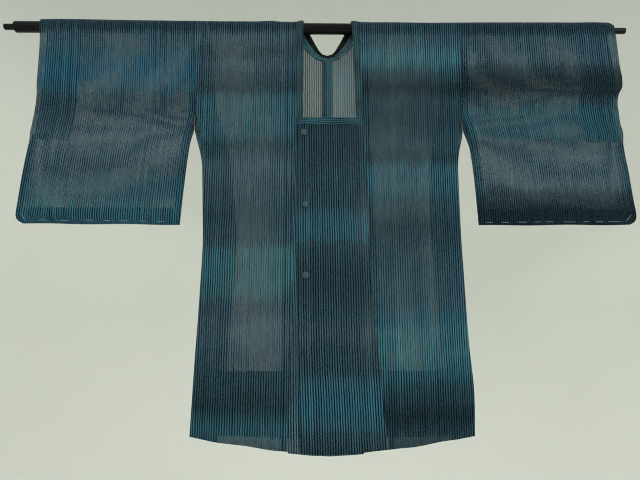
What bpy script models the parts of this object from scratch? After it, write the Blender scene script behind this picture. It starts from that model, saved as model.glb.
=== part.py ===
"""Sheer striped summer kimono coat with a square neck, hung on a rod through both sleeves.

Metres, +Z up. The front of the coat faces -Y, and +X is the viewer's right, so the wearer's right is at -X.
The origin is on the rod's axis, under the middle of the neck opening.

The cloth is drawn flat first, as a tailor would: x across the body, and s along the cloth, with s = 0 on the
shoulder fold, negative down the front and positive down the back. It is then laid over the rod.
"""
import math

import bpy
import bmesh

# Rod that the coat hangs on
ROD_RADIUS = 0.0125
ROD_ENDS = (-0.7034, 0.6400)
ROD_CHAMFER = 0.0015
STUB_RADIUS = 0.0068
STUB_ENDS = (-0.7284, 0.6810)
ROD_SIDES = 32
SHARP_EDGE = math.radians(35)

# Cloth
WALL = 0.0012
SEAM_GAP = 0.0003
ROD_FIT = 0.0005
DRAPE_RADIUS = ROD_RADIUS + ROD_FIT + WALL / 2
QUARTER_WRAP = DRAPE_RADIUS * math.pi / 2
CLOSED_HALF_GAP = (WALL + SEAM_GAP) / 2
FOLD_STEPS = 5
LEAST_ROW = 0.002

# Shoulder point of each armhole seam, on the rod
SHOULDER_RIGHT = -0.2985
SHOULDER_LEFT = 0.3010

# Body heights, all measured down from the rod's axis
BACK_ARMHOLE_END = -0.240
SIDE_SEAM_START = -0.300
NECK_TOP_OF_BAND = -0.2215
NECK_BOTTOM = -0.2370
HEM_AT_SIDES = -0.880
HEM_DROP_FRONT = 0.025
HEM_DROP_BACK = 0.012
UNDER_PANEL_DROP = 0.0035
HEM_CURVE_POWER = 1.2
HEM_EASE_FROM = -0.560

# Fullness of the hanging tube, front and back, at the hem
BELLY_FRONT = 0.024
BELLY_BACK = 0.016
BELLY_POWER = 2.4
BELLY_GROWTH = 1.2

# Lapped front panels and the collar band
LAP_LIFT = 0.0022
LAP_START = 0.002
LAP_OPEN_EXTRA = 0.0035
LAP_OPEN_HEIGHT = -0.430
LAP_OPEN_SPREAD = 0.110
LAP_OPEN_WIDTH = 0.030
BAND_WALL = 0.0014
BAND_LIFT = 0.0003
NECK_BAND_ROWS = (-0.190, -0.160, -0.120, -0.080, -0.045, -0.020)
LEVEL_BAND_COLUMNS = (0.0, 0.12, 0.35, 0.60, 0.78, 0.90, 1.0)

# Covered buttons: the dome as shares of its height and radius, and each centre on the over panel
BUTTON_RADIUS = 0.0073
BUTTON_HEIGHT = 0.0052
BUTTON_SIDES = 20
BUTTON_SEAT = (-0.004, 0.0, 0.004)
BUTTON_DOME = [
    (0.0, 0.0), (0.0, 0.62), (0.10, 0.86), (0.28, 0.98), (0.48, 1.0), (0.70, 0.88),
    (0.88, 0.62), (0.97, 0.32), (1.0, 0.0),
]
BUTTON_PLACES = [
    {"x": -0.0515, "z": -0.2565},
    {"x": -0.0464, "z": -0.4160},
    {"x": -0.0457, "z": -0.5638},
]

# Sleeves
SLEEVE_BOTTOM = -0.4520
SLEEVE_BOTTOM_SLANT = 0.0020
SLEEVE_SLANT_FROM = -0.335
SLEEVE_CORNER_START = -0.431
CUFF_CLOSE_START = -0.247
CUFF_CLOSE_DEPTH = 0.028
CUFF_CLOSE_SPAN = 0.050
SLEEVE_FULLNESS = 0.0030
SLEEVE_BACK_FOLDS = -0.7

# Outline tables: each row gives a height z and the edge's x there. Side and inner sleeve edges start at the
# foot of their armhole seam, which runs straight up to the shoulder point.
SIDE_FRONT_RIGHT = [
    {"z": -0.206, "x": -0.2875},
    {"z": -0.245, "x": -0.2797}, {"z": -0.268, "x": -0.2763}, {"z": -0.300, "x": -0.2727},
    {"z": -0.384, "x": -0.2682}, {"z": -0.500, "x": -0.2633}, {"z": -0.604, "x": -0.2657},
    {"z": -0.754, "x": -0.2709}, {"z": -0.880, "x": -0.2743},
]
SIDE_FRONT_LEFT = [
    {"z": -0.206, "x": 0.2935},
    {"z": -0.237, "x": 0.2895}, {"z": -0.265, "x": 0.2860}, {"z": -0.300, "x": 0.2831},
    {"z": -0.448, "x": 0.2823}, {"z": -0.562, "x": 0.2844}, {"z": -0.693, "x": 0.2878},
    {"z": -0.800, "x": 0.2938}, {"z": -0.880, "x": 0.2910},
]
SIDE_BACK_RIGHT = [
    {"z": -0.240, "x": -0.2930}, {"z": -0.258, "x": -0.2880}, {"z": -0.276, "x": -0.2825},
    {"z": -0.300, "x": -0.2757}, {"z": -0.330, "x": -0.2712}, {"z": -0.384, "x": -0.2682},
    {"z": -0.500, "x": -0.2633}, {"z": -0.604, "x": -0.2657}, {"z": -0.754, "x": -0.2709},
    {"z": -0.880, "x": -0.2743},
]
SIDE_BACK_LEFT = [
    {"z": -0.240, "x": 0.3000}, {"z": -0.258, "x": 0.2965}, {"z": -0.276, "x": 0.2915},
    {"z": -0.300, "x": 0.2861}, {"z": -0.330, "x": 0.2834}, {"z": -0.448, "x": 0.2823},
    {"z": -0.562, "x": 0.2844}, {"z": -0.693, "x": 0.2878}, {"z": -0.800, "x": 0.2938},
    {"z": -0.880, "x": 0.2910},
]
FRONT_EDGE_RIGHT = [
    {"z": 0.000, "x": -0.0693}, {"z": -0.2370, "x": -0.0693}, {"z": -0.400, "x": -0.0722},
    {"z": -0.650, "x": -0.0755}, {"z": -0.905, "x": -0.0788},
]
FRONT_EDGE_LEFT = [
    {"z": 0.000, "x": 0.0697}, {"z": -0.100, "x": 0.0740}, {"z": -0.2370, "x": 0.0772},
    {"z": -0.339, "x": 0.0806}, {"z": -0.510, "x": 0.0848}, {"z": -0.613, "x": 0.0912},
    {"z": -0.712, "x": 0.0988}, {"z": -0.808, "x": 0.1068}, {"z": -0.905, "x": 0.1156},
]
OVER_FREE_EDGE = [
    {"z": -0.2370, "x": -0.0678}, {"z": -0.415, "x": -0.0652}, {"z": -0.572, "x": -0.0630},
    {"z": -0.712, "x": -0.0606}, {"z": -0.808, "x": -0.0566}, {"z": -0.905, "x": -0.0536},
]
UNDER_FREE_EDGE = [
    {"z": -0.2215, "x": 0.0440}, {"z": -0.400, "x": 0.0520}, {"z": -0.650, "x": 0.0610},
    {"z": -0.905, "x": 0.0665},
]
NECK_INNER_RIGHT = [
    {"z": 0.000, "x": -0.0540}, {"z": -0.100, "x": -0.0555}, {"z": -0.2215, "x": -0.0540},
]
NECK_INNER_LEFT = [
    {"z": 0.000, "x": 0.0544}, {"z": -0.060, "x": 0.0575}, {"z": -0.155, "x": 0.0598},
    {"z": -0.2215, "x": 0.0604},
]
SLEEVE_OUTER_RIGHT = [
    {"z": 0.000, "x": -0.6440}, {"z": -0.028, "x": -0.6397}, {"z": -0.060, "x": -0.6384},
    {"z": -0.140, "x": -0.6378}, {"z": -0.175, "x": -0.6360}, {"z": -0.208, "x": -0.6376},
    {"z": -0.228, "x": -0.6395}, {"z": -0.257, "x": -0.6446}, {"z": -0.292, "x": -0.6494},
    {"z": -0.333, "x": -0.6536}, {"z": -0.368, "x": -0.6562}, {"z": -0.403, "x": -0.6583},
    {"z": -0.431, "x": -0.6600}, {"z": -0.440, "x": -0.6578}, {"z": -0.448, "x": -0.6500},
    {"z": -0.452, "x": -0.6420},
]
SLEEVE_OUTER_LEFT = [
    {"z": 0.000, "x": 0.6490}, {"z": -0.035, "x": 0.6512}, {"z": -0.085, "x": 0.6530},
    {"z": -0.105, "x": 0.6547}, {"z": -0.123, "x": 0.6563}, {"z": -0.140, "x": 0.6554},
    {"z": -0.158, "x": 0.6466}, {"z": -0.175, "x": 0.6416}, {"z": -0.193, "x": 0.6406},
    {"z": -0.2105, "x": 0.6421}, {"z": -0.228, "x": 0.6437}, {"z": -0.2456, "x": 0.6476},
    {"z": -0.298, "x": 0.6511}, {"z": -0.333, "x": 0.6546}, {"z": -0.368, "x": 0.6568},
    {"z": -0.403, "x": 0.6592}, {"z": -0.431, "x": 0.6615}, {"z": -0.440, "x": 0.6600},
    {"z": -0.448, "x": 0.6540}, {"z": -0.452, "x": 0.6460},
]
SLEEVE_INNER_RIGHT = [
    {"z": -0.206, "x": -0.2875},
    {"z": -0.240, "x": -0.2960}, {"z": -0.273, "x": -0.3008}, {"z": -0.349, "x": -0.3075},
    {"z": -0.452, "x": -0.3135},
]
SLEEVE_INNER_LEFT = [
    {"z": -0.206, "x": 0.2935},
    {"z": -0.240, "x": 0.3050}, {"z": -0.286, "x": 0.3126}, {"z": -0.360, "x": 0.3182},
    {"z": -0.452, "x": 0.3215},
]
SLEEVE_BACK_INNER_RIGHT = [
    {"z": -0.240, "x": -0.2930}, {"z": -0.273, "x": -0.3008}, {"z": -0.349, "x": -0.3075},
    {"z": -0.452, "x": -0.3135},
]
SLEEVE_BACK_INNER_LEFT = [
    {"z": -0.240, "x": 0.3000}, {"z": -0.286, "x": 0.3126}, {"z": -0.360, "x": 0.3182},
    {"z": -0.452, "x": 0.3215},
]

# Back neck, drawn on the flat cloth: distance s from the shoulder fold and half width x, along the band's
# inner and outer edges. The outer edge is also the neckline of the body.
BACK_NECK = [
    {"inner_s": 0.0000, "inner_x": 0.0542, "outer_s": 0.000, "outer_x": 0.0697},
    {"inner_s": 0.0140, "inner_x": 0.0468, "outer_s": 0.021, "outer_x": 0.0672},
    {"inner_s": 0.0270, "inner_x": 0.0395, "outer_s": 0.040, "outer_x": 0.0618},
    {"inner_s": 0.0410, "inner_x": 0.0326, "outer_s": 0.056, "outer_x": 0.0535},
    {"inner_s": 0.0550, "inner_x": 0.0252, "outer_s": 0.070, "outer_x": 0.0425},
    {"inner_s": 0.0670, "inner_x": 0.0184, "outer_s": 0.081, "outer_x": 0.0300},
    {"inner_s": 0.0755, "inner_x": 0.0110, "outer_s": 0.089, "outer_x": 0.0165},
    {"inner_s": 0.0785, "inner_x": 0.0000, "outer_s": 0.093, "outer_x": 0.0000},
]
BACK_NECK_STATIONS = (0.0, 0.25, 0.5, 0.75, 1.0, 1.25, 1.5, 2.0, 2.5, 3.0, 4.0, 5.0, 6.0, 7.0)

# Largest soft folds: x at the top and foot of each, its two heights, half width, and how far it stands out
FOLDS_FRONT = [
    {"x_top": -0.235, "x_foot": -0.215, "top": -0.30, "foot": -0.95, "half_width": 0.030, "out": 0.0045},
    {"x_top": -0.150, "x_foot": -0.165, "top": -0.45, "foot": -0.95, "half_width": 0.034, "out": -0.0040},
    {"x_top": -0.105, "x_foot": -0.110, "top": -0.35, "foot": -0.95, "half_width": 0.026, "out": 0.0038},
    {"x_top": 0.020, "x_foot": 0.010, "top": -0.40, "foot": -0.95, "half_width": 0.040, "out": -0.0030},
    {"x_top": 0.150, "x_foot": 0.165, "top": -0.32, "foot": -0.95, "half_width": 0.030, "out": 0.0046},
    {"x_top": 0.205, "x_foot": 0.225, "top": -0.42, "foot": -0.95, "half_width": 0.028, "out": -0.0038},
]
FOLDS_BACK = [
    {"x_top": -0.190, "x_foot": -0.205, "top": -0.28, "foot": -0.95, "half_width": 0.036, "out": 0.0050},
    {"x_top": -0.085, "x_foot": -0.095, "top": -0.40, "foot": -0.95, "half_width": 0.034, "out": -0.0045},
    {"x_top": 0.060, "x_foot": 0.075, "top": -0.30, "foot": -0.95, "half_width": 0.038, "out": 0.0048},
    {"x_top": 0.175, "x_foot": 0.190, "top": -0.38, "foot": -0.95, "half_width": 0.034, "out": -0.0042},
]
FOLDS_SLEEVE_RIGHT = [
    {"x_top": -0.420, "x_foot": -0.400, "top": -0.10, "foot": -0.42, "half_width": 0.036, "out": 0.0026},
    {"x_top": -0.545, "x_foot": -0.530, "top": -0.16, "foot": -0.42, "half_width": 0.040, "out": -0.0020},
]
FOLDS_SLEEVE_LEFT = [
    {"x_top": 0.430, "x_foot": 0.410, "top": -0.14, "foot": -0.42, "half_width": 0.036, "out": -0.0020},
    {"x_top": 0.520, "x_foot": 0.545, "top": -0.06, "foot": -0.34, "half_width": 0.032, "out": 0.0028},
]

# Rows of the cloth grids, as heights; the shoulder fold gets FOLD_STEPS more on each side
BODY_FRONT_ROWS = [
    -0.880, -0.855, -0.815, -0.760, -0.700, -0.640, -0.580, -0.520, -0.460, -0.400, -0.350,
    -0.300, -0.272, -0.2370, -0.206, -0.160, -0.105, -0.050, -0.020,
]
BODY_BACK_ROWS = [
    -0.098, -0.150, -0.206, -0.240, -0.258, -0.278, -0.300, -0.340, -0.400, -0.460, -0.520,
    -0.580, -0.640, -0.700, -0.760, -0.815, -0.855, -0.880,
]
SLEEVE_ROWS = [
    -0.452, -0.4490, -0.4440, -0.4370, -0.430, -0.410, -0.375, -0.335, -0.295, -0.272, -0.257,
    -0.240, -0.222, -0.206, -0.175, -0.145, -0.120, -0.090, -0.050, -0.020,
]
PANEL_ROWS = [-0.880, -0.855, -0.800, -0.730, -0.660, -0.590, -0.520, -0.460, -0.415, -0.370, -0.320, -0.270]
BODY_COLUMNS = (0.0, 0.05, 0.12, 0.22, 0.34, 0.46, 0.58, 0.70, 0.82, 0.92, 1.0)
SLEEVE_COLUMNS = (0.0, 0.06, 0.15, 0.27, 0.40, 0.53, 0.66, 0.78, 0.88, 0.95, 1.0)
OVER_COLUMNS = (0.0, 0.08, 0.20, 0.36, 0.52, 0.68, 0.80, 0.90, 1.0)
UNDER_COLUMNS = (0.0, 0.20, 0.40, 0.60, 0.80, 1.0)

# Base colour, roughness and metallic value of each finish
FINISHES = {
    "gauze_teal": {"color": (0.026, 0.095, 0.130), "roughness": 0.75, "metallic": 0.0},
    "gauze_navy": {"color": (0.018, 0.052, 0.078), "roughness": 0.75, "metallic": 0.0},
    "gauze_slate": {"color": (0.034, 0.085, 0.110), "roughness": 0.75, "metallic": 0.0},
    "band_gauze": {"color": (0.020, 0.060, 0.078), "roughness": 0.70, "metallic": 0.0},
    "covered_button": {"color": (0.020, 0.050, 0.065), "roughness": 0.65, "metallic": 0.0},
    "black_lacquer": {"color": (0.006, 0.007, 0.007), "roughness": 0.25, "metallic": 0.0},
}


def edge_at(table, value):
    """The edge's x at a height, on a smooth curve through the table's rows."""
    rows = sorted(table, key=lambda row: row["z"])
    keys = [row["z"] for row in rows]
    xs = [row["x"] for row in rows]
    if value <= keys[0]:
        return xs[0]
    if value >= keys[-1]:
        return xs[-1]
    i = next(n for n in range(len(keys) - 1) if value <= keys[n + 1])
    step = keys[i + 1] - keys[i]
    slopes = [(xs[n + 1] - xs[n]) / (keys[n + 1] - keys[n]) for n in range(len(keys) - 1)]
    start = gentle_slope(slopes, i)
    end = gentle_slope(slopes, i + 1)
    t = (value - keys[i]) / step
    return (
        xs[i] * (1 + 2 * t) * (1 - t) ** 2
        + xs[i + 1] * t * t * (3 - 2 * t)
        + step * t * (1 - t) * (start * (1 - t) - end * t)
    )


def side_edge(table, z):
    """x of a side or sleeve edge: a straight armhole seam from the shoulder, then the table's own curve."""
    end = table[0]
    if z > end["z"]:
        shoulder = SHOULDER_RIGHT if end["x"] < 0 else SHOULDER_LEFT
        return shoulder + (end["x"] - shoulder) * min(1.0, z / end["z"])
    return edge_at(table, z)


def neck_station(position):
    """Inner and outer points of the back neck band, as (x, s), at a position counted in rows of its table."""
    first = min(int(position), len(BACK_NECK) - 2)
    share = position - first
    row = {
        key: BACK_NECK[first][key] + (BACK_NECK[first + 1][key] - BACK_NECK[first][key]) * share
        for key in BACK_NECK[first]
    }
    return (row["inner_x"], row["inner_s"]), (row["outer_x"], row["outer_s"])


def neckline_half_width(s):
    """Half width of the body's back neckline at a distance s from the shoulder fold, or 0 below its foot."""
    for upper, lower in zip(BACK_NECK, BACK_NECK[1:]):
        if s <= lower["outer_s"]:
            share = (s - upper["outer_s"]) / (lower["outer_s"] - upper["outer_s"])
            return upper["outer_x"] + (lower["outer_x"] - upper["outer_x"]) * share
    return 0.0


def gentle_slope(slopes, i):
    """Tangent at row i that never overshoots: the harmonic mean of its neighbours, or flat at a turn."""
    if i == 0:
        return slopes[0]
    if i == len(slopes):
        return slopes[-1]
    before, after = slopes[i - 1], slopes[i]
    if before * after <= 0:
        return 0.0
    return 2 * before * after / (before + after)


def ease(t):
    """0 to 1 with level ends."""
    t = min(1.0, max(0.0, t))
    return t * t * (3 - 2 * t)


def relief(folds, x, z):
    """How far the soft folds stand out at one place of a hanging wall."""
    total = 0.0
    for fold in folds:
        run = (z - fold["top"]) / (fold["foot"] - fold["top"])
        if run <= 0.0:
            continue
        middle = fold["x_top"] + (fold["x_foot"] - fold["x_top"]) * run
        across = (x - middle) / fold["half_width"]
        fade_out = 1.0 if fold["foot"] < HEM_AT_SIDES else ease((1.0 - run) * 3)
        total += fold["out"] * ease(run * 1.6) * fade_out * math.exp(-across * across)
    return total


def body_edge_gap(z):
    """Half the space between front and back at the body's side edge."""
    open_part = DRAPE_RADIUS + (CLOSED_HALF_GAP - DRAPE_RADIUS) * z / SLEEVE_BOTTOM
    if z > BACK_ARMHOLE_END:
        return open_part
    closing = ease((BACK_ARMHOLE_END - z) / (BACK_ARMHOLE_END - SIDE_SEAM_START))
    return open_part + (CLOSED_HALF_GAP - open_part) * closing


def body_side(x, z, front):
    """x of the side edge on the same side as x."""
    if front:
        return side_edge(SIDE_FRONT_RIGHT if x < 0 else SIDE_FRONT_LEFT, z)
    return side_edge(SIDE_BACK_RIGHT if x < 0 else SIDE_BACK_LEFT, z)


def body_out(x, z, front):
    """How far the front or back wall hangs from the middle plane."""
    belly = BELLY_FRONT if front else BELLY_BACK
    middle = DRAPE_RADIUS + belly * (min(1.0, z / HEM_AT_SIDES)) ** BELLY_GROWTH
    side = body_edge_gap(z)
    across = min(1.0, abs(x / body_side(x, z, front)))
    lens = 1 - across ** BELLY_POWER
    folds = FOLDS_FRONT if front else FOLDS_BACK
    return side + (middle - side) * lens + relief(folds, x, z) * min(1.0, lens * 3)


def hang_height(s):
    """Height of the cloth at a distance s from the shoulder fold, below the rod's axis."""
    return -(abs(s) - QUARTER_WRAP)


def cloth_distance(z, front):
    """The distance s from the shoulder fold of a hanging height z."""
    s = QUARTER_WRAP - z
    return -s if front else s


def body_point(x, s, lift=0.0):
    """Lays one point of the flat body cloth over the rod, lifted off its own surface by lift."""
    if abs(s) <= QUARTER_WRAP:
        angle = s / DRAPE_RADIUS
        radius = DRAPE_RADIUS + lift
        return (x, radius * math.sin(angle), radius * math.cos(angle))
    z = hang_height(s)
    front = s < 0
    out = body_out(x, min(z, 0.0), front) + lift
    return (x, -out if front else out, z)


def hem_shift(x, z, drop):
    """Lowers the rows near the hem towards the middle, where the hem hangs lower."""
    share = ease((HEM_EASE_FROM - z) / (HEM_EASE_FROM - HEM_AT_SIDES))
    half = abs(body_side(x, HEM_AT_SIDES, True))
    return -drop * share * (1 - min(1.0, abs(x) / half) ** HEM_CURVE_POWER)


def sleeve_edge_gap(z):
    """Half the space inside a sleeve, from the rod down to its sewn bottom."""
    return DRAPE_RADIUS + (CLOSED_HALF_GAP - DRAPE_RADIUS) * min(1.0, z / SLEEVE_BOTTOM)


def sleeve_out(x, z, side, front):
    """How far a sleeve wall hangs from the middle plane; side is -1 on the wearer's right, 1 on the left."""
    outer = edge_at(SLEEVE_OUTER_RIGHT if side < 0 else SLEEVE_OUTER_LEFT, max(z, SLEEVE_CORNER_START))
    inner = side_edge(SLEEVE_INNER_RIGHT if side < 0 else SLEEVE_INNER_LEFT, z)
    across = min(1.0, max(0.0, (x - inner) / (outer - inner)))
    gap = sleeve_edge_gap(z)
    hollow = math.sin(math.pi * across) * math.sin(math.pi * min(1.0, z / SLEEVE_BOTTOM))
    folds = FOLDS_SLEEVE_RIGHT if side < 0 else FOLDS_SLEEVE_LEFT
    gap += SLEEVE_FULLNESS * hollow + relief(folds, x, z) * hollow * (1.0 if front else SLEEVE_BACK_FOLDS)
    closed = ease((CUFF_CLOSE_START - z) / CUFF_CLOSE_DEPTH) * ease(1 - abs(outer - x) / CUFF_CLOSE_SPAN)
    gap = gap + (CLOSED_HALF_GAP - gap) * closed
    return max(gap, CLOSED_HALF_GAP)


def sleeve_point(x, s, side, lift=0.0):
    """Lays one point of the flat sleeve cloth over the rod."""
    if abs(s) <= QUARTER_WRAP:
        angle = s / DRAPE_RADIUS
        radius = DRAPE_RADIUS + lift
        return (x, radius * math.sin(angle), radius * math.cos(angle))
    z = hang_height(s)
    front = s < 0
    out = sleeve_out(x, z, side, front) + lift
    return (x, -out if front else out, z)


def make_material(name):
    finish = FINISHES[name]
    material = bpy.data.materials.new(name)
    material.use_nodes = True
    shader = material.node_tree.nodes["Principled BSDF"]
    shader.inputs["Base Color"].default_value = (*finish["color"], 1.0)
    shader.inputs["Roughness"].default_value = finish["roughness"]
    shader.inputs["Metallic"].default_value = finish["metallic"]
    return material


def add_object(name, mesh, material):
    piece = bpy.data.objects.new(name, mesh)
    bpy.context.scene.collection.objects.link(piece)
    mesh.materials.append(material)
    return piece


def cloth_sheet(name, rows, material, wall=WALL):
    """A wall of cloth: a grid of points on its middle surface, thickened evenly on both sides."""
    mesh = bpy.data.meshes.new(name)
    grid = bmesh.new()
    verts = [[grid.verts.new(point) for point in row] for row in rows]
    for lower, upper in zip(verts, verts[1:]):
        for i in range(len(lower) - 1):
            grid.faces.new((lower[i], lower[i + 1], upper[i + 1], upper[i]))
    grid.to_mesh(mesh)
    grid.free()
    mesh.shade_smooth()
    piece = add_object(name, mesh, material)
    thicken = piece.modifiers.new("Wall", "SOLIDIFY")
    thicken.thickness = wall
    thicken.offset = 0.0
    thicken.use_even_offset = False
    thicken.use_rim = True
    return piece


def between(start, end, shares):
    """Values from start to end at the given shares."""
    return [start + (end - start) * share for share in shares]


def body_rows():
    """Distances s of the body's grid rows, from the front hem over the shoulder to the back hem."""
    front = [cloth_distance(z, True) for z in BODY_FRONT_ROWS]
    fold = [QUARTER_WRAP * step / FOLD_STEPS for step in range(-FOLD_STEPS, FOLD_STEPS + 1)]
    neck = [row["outer_s"] for row in BACK_NECK if row["outer_s"] > QUARTER_WRAP + LEAST_ROW]
    back = [cloth_distance(z, False) for z in BODY_BACK_ROWS]
    return front + fold + neck + back


def body_inner_edge(s, side):
    """x of the edge of a body length next to the neck, the front seam or the centre back seam."""
    gap = side * SEAM_GAP / 2
    if s < 0:
        z = min(hang_height(s), 0.0)
        return edge_at(FRONT_EDGE_RIGHT if side < 0 else FRONT_EDGE_LEFT, z) + gap
    return side * neckline_half_width(s) + gap


def make_body(name, side, material):
    """One length of cloth for one side of the body, from the front hem over the shoulder to the back hem."""
    rows = []
    for s in body_rows():
        front = s < 0
        z = min(hang_height(s), 0.0)
        outer = body_side(side, z, front) - side * SEAM_GAP / 2
        drop = HEM_DROP_FRONT if front else HEM_DROP_BACK
        row = []
        for x in between(outer, body_inner_edge(s, side), BODY_COLUMNS):
            shift = hem_shift(x, z, drop)
            place = s + shift if front else s - shift
            row.append(body_point(x, place))
        rows.append(row if side < 0 else row[::-1])
    return cloth_sheet(name, rows, material)


def make_sleeve(name, side, material):
    """One length of cloth folded over the rod, sewn along the bottom and the lower part of the cuff."""
    fold = [QUARTER_WRAP * step / FOLD_STEPS for step in range(-FOLD_STEPS, FOLD_STEPS + 1)]
    front = [cloth_distance(z, True) for z in SLEEVE_ROWS]
    distances = front + fold + [-s for s in reversed(front)]
    outer_table = SLEEVE_OUTER_RIGHT if side < 0 else SLEEVE_OUTER_LEFT
    front_table = SLEEVE_INNER_RIGHT if side < 0 else SLEEVE_INNER_LEFT
    back_table = SLEEVE_BACK_INNER_RIGHT if side < 0 else SLEEVE_BACK_INNER_LEFT
    rows = []
    for s in distances:
        z = min(hang_height(s), 0.0)
        inner = side_edge(front_table if s < 0 else back_table, z) + side * SEAM_GAP / 2
        outer = edge_at(outer_table, z)
        row = []
        for x in between(inner, outer, SLEEVE_COLUMNS):
            share = ease((SLEEVE_SLANT_FROM - z) / (SLEEVE_SLANT_FROM - SLEEVE_BOTTOM))
            slant = SLEEVE_BOTTOM_SLANT * share * (1 - abs(x - inner) / abs(outer - inner))
            row.append(sleeve_point(x, s - slant if s < 0 else s + slant, side))
        rows.append(row[::-1] if side < 0 else row)
    return cloth_sheet(name, rows, material)


def lap_lift(x, z):
    """How far the over panel stands off the under panel, easing to nothing at its own seam."""
    start = edge_at(UNDER_FREE_EDGE, z) + LAP_START
    seam = edge_at(FRONT_EDGE_LEFT, z) if z < NECK_BOTTOM else edge_at(NECK_INNER_LEFT, z)
    lift = LAP_LIFT * (1 - ease((x - start) / (seam - start)))
    free_edge = edge_at(OVER_FREE_EDGE, z)
    along = (z - LAP_OPEN_HEIGHT) / LAP_OPEN_SPREAD
    across = (x - free_edge) / LAP_OPEN_WIDTH
    return lift + LAP_OPEN_EXTRA * math.exp(-along * along) * max(0.0, 1 - across) ** 2


def front_panel_rows(left_edge, right_edge, columns, top, drop, lift):
    """Grid rows of a front panel between two edge functions, from the hem up to its top."""
    rows = []
    for z in PANEL_ROWS + [top]:
        row = []
        for x in between(left_edge(z), right_edge(z), columns):
            place = cloth_distance(z, True) + hem_shift(x, z, drop)
            row.append(body_point(x, place, lift(x, z)))
        rows.append(row)
    return rows


def make_panels(over_material, under_material):
    """The two straight front panels: the left one laps over the right one."""
    top = NECK_BOTTOM - SEAM_GAP
    over = front_panel_rows(
        lambda z: edge_at(OVER_FREE_EDGE, z),
        lambda z: edge_at(FRONT_EDGE_LEFT, z) - SEAM_GAP / 2,
        OVER_COLUMNS, top, HEM_DROP_FRONT, lap_lift,
    )
    under = front_panel_rows(
        lambda z: edge_at(FRONT_EDGE_RIGHT, z) + SEAM_GAP / 2,
        lambda z: edge_at(UNDER_FREE_EDGE, z),
        UNDER_COLUMNS, top, HEM_DROP_FRONT + UNDER_PANEL_DROP, lambda x, z: 0.0,
    )
    cloth_sheet("panel_left_over", over, over_material)
    cloth_sheet("panel_right_under", under, under_material)


def neck_band_stations(side):
    """Inner and outer points of the neck band on one side, from its front corner to the centre back."""
    table = NECK_INNER_RIGHT if side < 0 else NECK_INNER_LEFT
    edge = FRONT_EDGE_RIGHT if side < 0 else FRONT_EDGE_LEFT
    gap = side * SEAM_GAP / 2
    corner_in = (edge_at(table, NECK_TOP_OF_BAND), cloth_distance(NECK_TOP_OF_BAND + SEAM_GAP, True))
    corner_out = (edge_at(edge, NECK_BOTTOM) - gap, cloth_distance(NECK_BOTTOM + SEAM_GAP, True))
    stations = [(corner_in, corner_out)]
    for z in NECK_BAND_ROWS:
        s = cloth_distance(z, True)
        stations.append(((edge_at(table, z), s), (edge_at(edge, z) - gap, s)))
    for step in range(-FOLD_STEPS, 0):
        s = QUARTER_WRAP * step / FOLD_STEPS
        stations.append(((edge_at(table, 0.0), s), (edge_at(edge, 0.0) - gap, s)))
    for position in BACK_NECK_STATIONS:
        (inner_x, inner_s), (outer_x, outer_s) = neck_station(position)
        outer_x = max(0.0, outer_x - SEAM_GAP / 2)
        stations.append(((side * inner_x, inner_s), (side * outer_x, outer_s - SEAM_GAP / 2)))
    return stations


def make_collar(material):
    """The neck band in one strip round the neck, and the two level bands on top of the front panels."""
    right = neck_band_stations(-1)
    left = neck_band_stations(1)
    stations = right + left[-2::-1]
    rows = []
    for inner, outer in stations:
        row = []
        for share in (0.0, 0.5, 1.0):
            x = inner[0] + (outer[0] - inner[0]) * share
            s = inner[1] + (outer[1] - inner[1]) * share
            row.append(body_point(x, s, BAND_LIFT))
        rows.append(row[::-1])
    cloth_sheet("collar_neck_band", rows, material, BAND_WALL)

    over_rows = []
    under_rows = []
    for depth in (1.0, 0.5, 0.0):
        z = NECK_TOP_OF_BAND + (NECK_BOTTOM - NECK_TOP_OF_BAND) * depth
        s = cloth_distance(z, True)
        start = edge_at(NECK_INNER_RIGHT, z)
        start += (edge_at(OVER_FREE_EDGE, z) - start) * depth
        end = edge_at(NECK_INNER_LEFT, z) - SEAM_GAP
        end += (edge_at(FRONT_EDGE_LEFT, NECK_BOTTOM) - edge_at(NECK_INNER_LEFT, z)) * depth
        over_rows.append([
            body_point(x, s, BAND_LIFT + lap_lift(x, z)) for x in between(start, end, LEVEL_BAND_COLUMNS)
        ])
        under_start = edge_at(NECK_INNER_RIGHT, z) + SEAM_GAP
        under_start += (edge_at(FRONT_EDGE_RIGHT, NECK_BOTTOM) - edge_at(NECK_INNER_RIGHT, z)) * depth
        under_end = edge_at(UNDER_FREE_EDGE, z)
        under_rows.append([
            body_point(x, s, BAND_LIFT) for x in between(under_start, under_end, LEVEL_BAND_COLUMNS)
        ])
    cloth_sheet("collar_band_over", over_rows, material, BAND_WALL)
    cloth_sheet("collar_band_under", under_rows, material, BAND_WALL)


def turned_profile(name, profile, sides, material):
    """A solid turned round the X axis from (x, radius) points, closed on the axis at both ends."""
    mesh = bpy.data.meshes.new(name)
    turned = bmesh.new()
    chain = [turned.verts.new((x, 0.0, radius)) for x, radius in profile]
    edges = [turned.edges.new(pair) for pair in zip(chain, chain[1:])]
    bmesh.ops.spin(
        turned, geom=chain + edges, cent=(0, 0, 0), axis=(1, 0, 0), angle=math.tau, steps=sides,
        use_merge=True,
    )
    bmesh.ops.remove_doubles(turned, verts=turned.verts, dist=0.00001)
    bmesh.ops.recalc_face_normals(turned, faces=turned.faces)
    turned.to_mesh(mesh)
    turned.free()
    mesh.shade_smooth()
    mesh.set_sharp_from_angle(angle=SHARP_EDGE)
    return add_object(name, mesh, material)


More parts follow.
